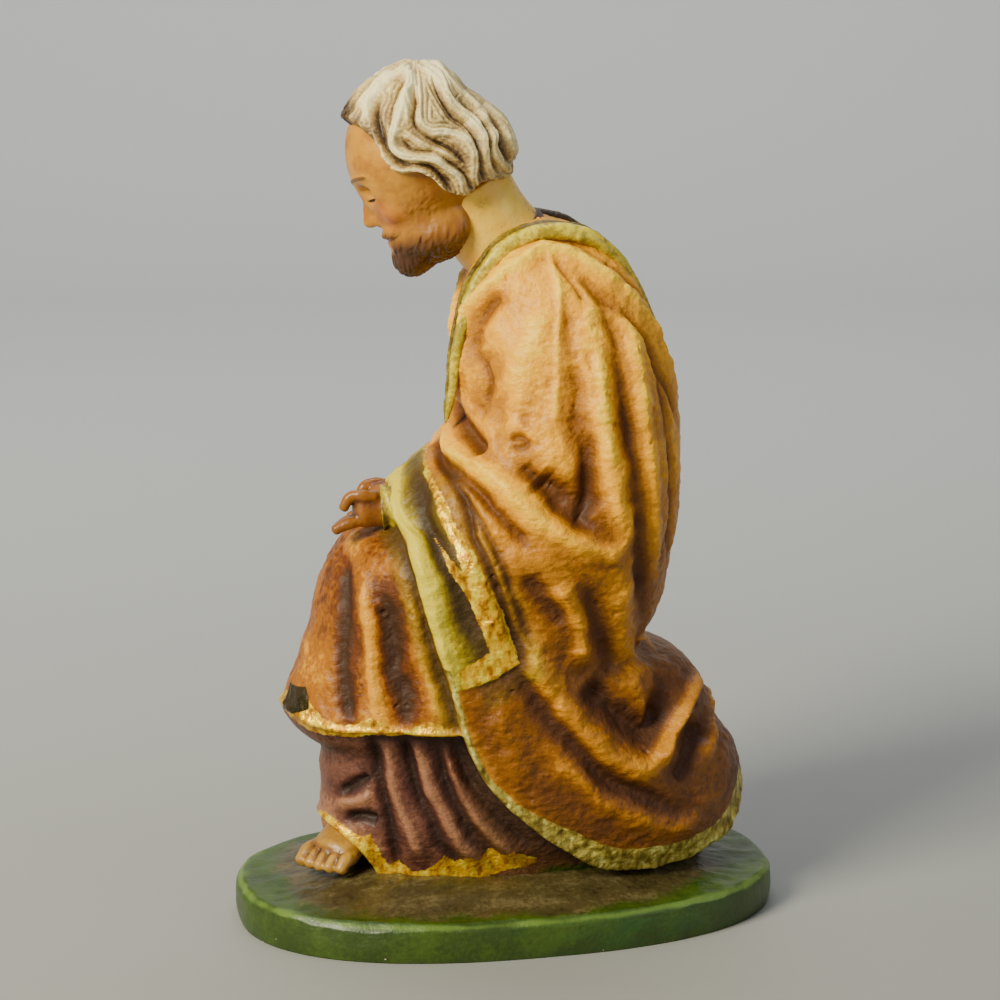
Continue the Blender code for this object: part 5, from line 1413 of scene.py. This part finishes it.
def face_finish():
    """Flesh paint with thin brows and lash lines, a blush, and a brown stippled beard."""
    finish = Finish("painted_face", roughness=0.4, ior=1.45, coat_weight=0.2, coat_roughness=0.2)
    grain, blotch = finish.noise(1.1, 4.0), finish.noise(7.0, 3.0)
    colour = finish.over(paint(190, 140, 48), paint(214, 168, 68), blotch.above(0.3, 0.62))
    # Towards the ear the cheek is darker: partly a brown wash, partly painted shadow of the hair.
    behind = (finish.along("X") + (grain - 0.5) * 6.0).above(-38.0, -26.0)
    colour = finish.over(colour, paint(158, 112, 46), behind * 0.4)
    colour = finish.over(colour, paint(206, 112, 66), finish.value("cheek") * 0.5)
    colour = finish.over(colour, paint(178, 92, 62), finish.value("lips") * 0.6)
    beard, tuft = finish.value("beard"), finish.value("tuft")
    down = 1.0 - finish.along("Z").above(198.0, 214.0)
    colour = finish.over(colour, paint(166, 118, 52), beard * (down * 0.4 + 0.5))
    hatch = ((tuft - 0.35) * -0.8 + (grain - 0.45) * 2.6).above(0.0, 0.8)
    colour = finish.over(colour, paint(92, 58, 36), hatch * beard * (down * 0.6 + 0.3))
    chin = 1.0 - finish.along("Z").above(196.0, 205.0)
    colour = finish.over(colour, paint(70, 44, 30), chin * beard * 0.8)
    colour = finish.over(colour, paint(78, 46, 28), finish.value("brow").above(0.35, 0.9) * 0.75)
    colour = finish.over(colour, paint(52, 28, 20), finish.value("lash").above(0.3, 0.8))
    relief = finish.noise(0.9, 3.0) * 0.5 + finish.noise(3.0, 3.0)
    return finish.painted(colour, (grain - 0.5) * 0.25 + 0.4, relief, 0.16)


def skin_finish(name, shade, light, dark):
    """Flesh paint on the hands, neck and foot, antiqued between the fingers and toes."""
    finish = Finish(name, roughness=0.4, ior=1.45, coat_weight=0.2, coat_roughness=0.2)
    ridge, grain, blotch = finish.value("ridge"), finish.noise(1.1, 4.0), finish.noise(6.0, 3.0)
    colour = finish.over(paint(*shade), paint(*light), ridge.above(-0.1, 0.4) * 0.6 + (blotch - 0.45) * 1.2)
    hollow = (ridge * -1.0 + (grain - 0.5) * 0.6 + (blotch - 0.5) * 0.4).above(0.06, 0.36)
    colour = finish.over(colour, paint(*dark), hollow * 0.85)
    relief = finish.noise(0.9, 3.0) * 0.5 + finish.noise(2.4, 3.0)
    return finish.painted(colour, (grain - 0.5) * 0.3 + 0.4, relief, 0.2)


def hair_finish():
    """Grey-brown hair dry-brushed with cream on its ridges, darker over the brow, and lighter towards the top
    with painted light from above.
    """
    finish = Finish("painted_hair", roughness=0.45, ior=1.45, coat_weight=0.1, coat_roughness=0.3)
    ridge, grain, blotch = finish.value("ridge"), finish.noise(0.9, 5.0), finish.noise(8.0, 3.0)
    raised = ridge + (grain - 0.5) * 2.2 + (blotch - 0.5) * 1.6 - finish.value("brow") * 1.4
    # Painted light from above: the hair is lighter towards the top of the head.
    raised = raised + finish.along("Z").above(222.0, 246.0) * 0.5
    relief = finish.noise(0.7, 3.0) * 0.6 + finish.noise(1.8, 3.0) * 0.6
    return finish.painted(finish.shaded(raised, HAIR_PAINTS), (grain - 0.5) * 0.3 + 0.46, relief, 0.26)


def base_finish():
    """Leaf-green paint with a painted highlight on the rim's edge and painted cool light on its wall, brown
    earth over most of the top, and chips.
    """
    finish = Finish("painted_base", roughness=0.42, ior=1.45, coat_weight=0.15, coat_roughness=0.25)
    grain, blotch = finish.noise(1.4, 5.0), finish.noise(15.0, 3.0)
    smear = finish.noise(6.0, 4.0, (0.4, 1, 2.0))
    tone = (blotch - 0.5) * 0.8 + (grain - 0.5) * 0.5 + finish.value("ridge") * 0.35 + 0.48
    colour = finish.shaded(tone, GREEN_PAINTS)
    ahead = finish.along("X")
    # Painted cool light on the middle of the rim's wall.
    cool_light = ahead.above(-20.0, 20.0) * (1.0 - ahead.above(40.0, 70.0)) * smear.above(0.3, 0.7)
    colour = finish.over(colour, paint(70, 118, 66), cool_light * 0.55 * (1.0 - finish.value("top")))
    # A painted highlight along the rim's edge.
    edge = finish.value("edge") + (smear - 0.6) * 1.6
    colour = finish.over(colour, paint(138, 160, 84), edge.above(0.2, 1.0) * 0.75)
    inward = finish.value("inward") + (blotch - 0.5) * 0.3 + (grain - 0.5) * 0.14
    inward = inward - ahead.above(20.0, 75.0) * 0.12
    earth = (inward - (1.0 - ahead.above(-78.0, -56.0)) * 0.12).above(0.05, 0.17)
    soil = finish.shaded((grain - 0.5) * 0.8 + (smear - 0.5) * 1.4 + 0.5, SOIL_PAINTS)
    colour = finish.over(colour, soil, earth * finish.value("top") * 0.9)
    chips = finish.noise(1.9, 1.0).above(0.755, 0.77) * (1.0 - finish.along("Z").above(1.5, 3.5))
    colour = finish.over(colour, paint(226, 220, 204), chips)
    relief = finish.noise(0.9, 3.0) * 0.4 + smear * 0.6 + finish.noise(2.6, 3.0) * 0.5
    return finish.painted(colour, (grain - 0.5) * 0.35 + 0.42, relief, 0.35)


def floor_finish():
    """Plain pale grey, with painted shade that makes it a little darker towards the camera."""
    finish = Finish("floor_grey", roughness=0.7)
    near = 1.0 - finish.along("Y").above(-350.0, 900.0)
    finish.feed("Base Color", finish.over(paint(208, 209, 209), paint(168, 167, 162), near))
    return finish.material


# The stage

def add_floor():
    """A plain pale floor: a flat strip, a quarter circle behind the figure, and a strip straight up."""
    depth, half, bend = 1.1, 2.4, 0.5
    ahead = (math.sin(CAMERA_BEARING), math.cos(CAMERA_BEARING))
    turn = np.linspace(0, math.pi / 2, 30)
    away = np.concatenate([[-2.0], depth + bend * np.sin(turn)])
    rise = np.concatenate([[0.0], bend * (1 - np.cos(turn))])
    away, rise = np.append(away, away[-1]), np.append(rise, 2.4)
    across = np.array([-half, half])[:, None]
    x = ahead[0] * away + ahead[1] * across
    y = ahead[1] * away - ahead[0] * across
    points = np.stack([x, y, rise + 0 * x], axis=-1).reshape(-1, 3)
    count = len(away)
    step = np.arange(count - 1)
    faces = np.stack([step, step + count, step + count + 1, step + 1], axis=1)
    mesh = bpy.data.meshes.new("floor")
    mesh.from_pydata(points.tolist(), [], faces.tolist())
    mesh.shade_smooth()
    mesh.materials.append(floor_finish())
    floor = bpy.data.objects.new("floor", mesh)
    bpy.context.scene.collection.objects.link(floor)


def add_light(name, place, target, size, power, colour):
    """A soft square lamp turned to a point."""
    lamp = bpy.data.lights.new(name, "AREA")
    lamp.size = size
    lamp.energy = power
    lamp.color = colour
    made = bpy.data.objects.new(name, lamp)
    made.location = place
    made.rotation_euler = (Vector(target) - Vector(place)).to_track_quat("-Z", "Y").to_euler()
    bpy.context.scene.collection.objects.link(made)


def add_camera():
    """The camera at the photograph's bearing, height and distance."""
    right = Vector((math.cos(CAMERA_BEARING), -math.sin(CAMERA_BEARING), 0.0))
    stand = Vector((-CAMERA_DISTANCE * math.sin(CAMERA_BEARING), -CAMERA_DISTANCE * math.cos(CAMERA_BEARING),
                    CAMERA_HEIGHT))
    lens = bpy.data.cameras.new("camera")
    lens.lens = CAMERA_LENS
    lens.sensor_width = 36.0
    camera = bpy.data.objects.new("camera", lens)
    camera.location = stand - right * CAMERA_SHIFT
    camera.rotation_euler = (math.pi / 2 - CAMERA_PITCH, 0.0, -CAMERA_BEARING)
    bpy.context.scene.collection.objects.link(camera)
    bpy.context.scene.camera = camera


def add_stage():
    """Floor, a soft key light from the upper left, a weak fill from the right, a lamp on the backdrop, and a
    pale surround."""
    add_floor()
    target = (0.0, 0.0, 0.12)
    add_light("key", (-0.95, -0.60, 0.85), target, 0.5, 33.0, (1.0, 0.95, 0.74))
    add_light("fill", (0.9, -0.7, 0.5), target, 0.9, 2.2, (0.88, 0.94, 1.0))
    add_light("backdrop", (0.1, 0.5, 1.6), (0.3, 1.4, 0.5), 0.9, 16.0, (0.97, 0.99, 1.0))
    world = bpy.data.worlds.new("surround")
    world.use_nodes = True
    surround = world.node_tree.nodes["Background"]
    surround.inputs["Color"].default_value = (0.80, 0.84, 0.88, 1.0)
    surround.inputs["Strength"].default_value = 0.36
    bpy.context.scene.world = world
    add_camera()


def build():
    """Every piece of the figure, then the stage."""
    roll = roll_finish()
    add_robe(robe_finish())
    add_rolls(roll)
    add_neck(skin_finish("painted_flesh", *NECK_PAINTS), cloth_finish("painted_tunic", TUNIC_PAINTS))
    add_head(face_finish())
    add_hair(hair_finish())
    add_hands(skin_finish("painted_hands", *HAND_PAINTS), roll)
    add_foot(skin_finish("painted_foot", *FOOT_PAINTS))
    add_base(base_finish())
    add_stage()


build()
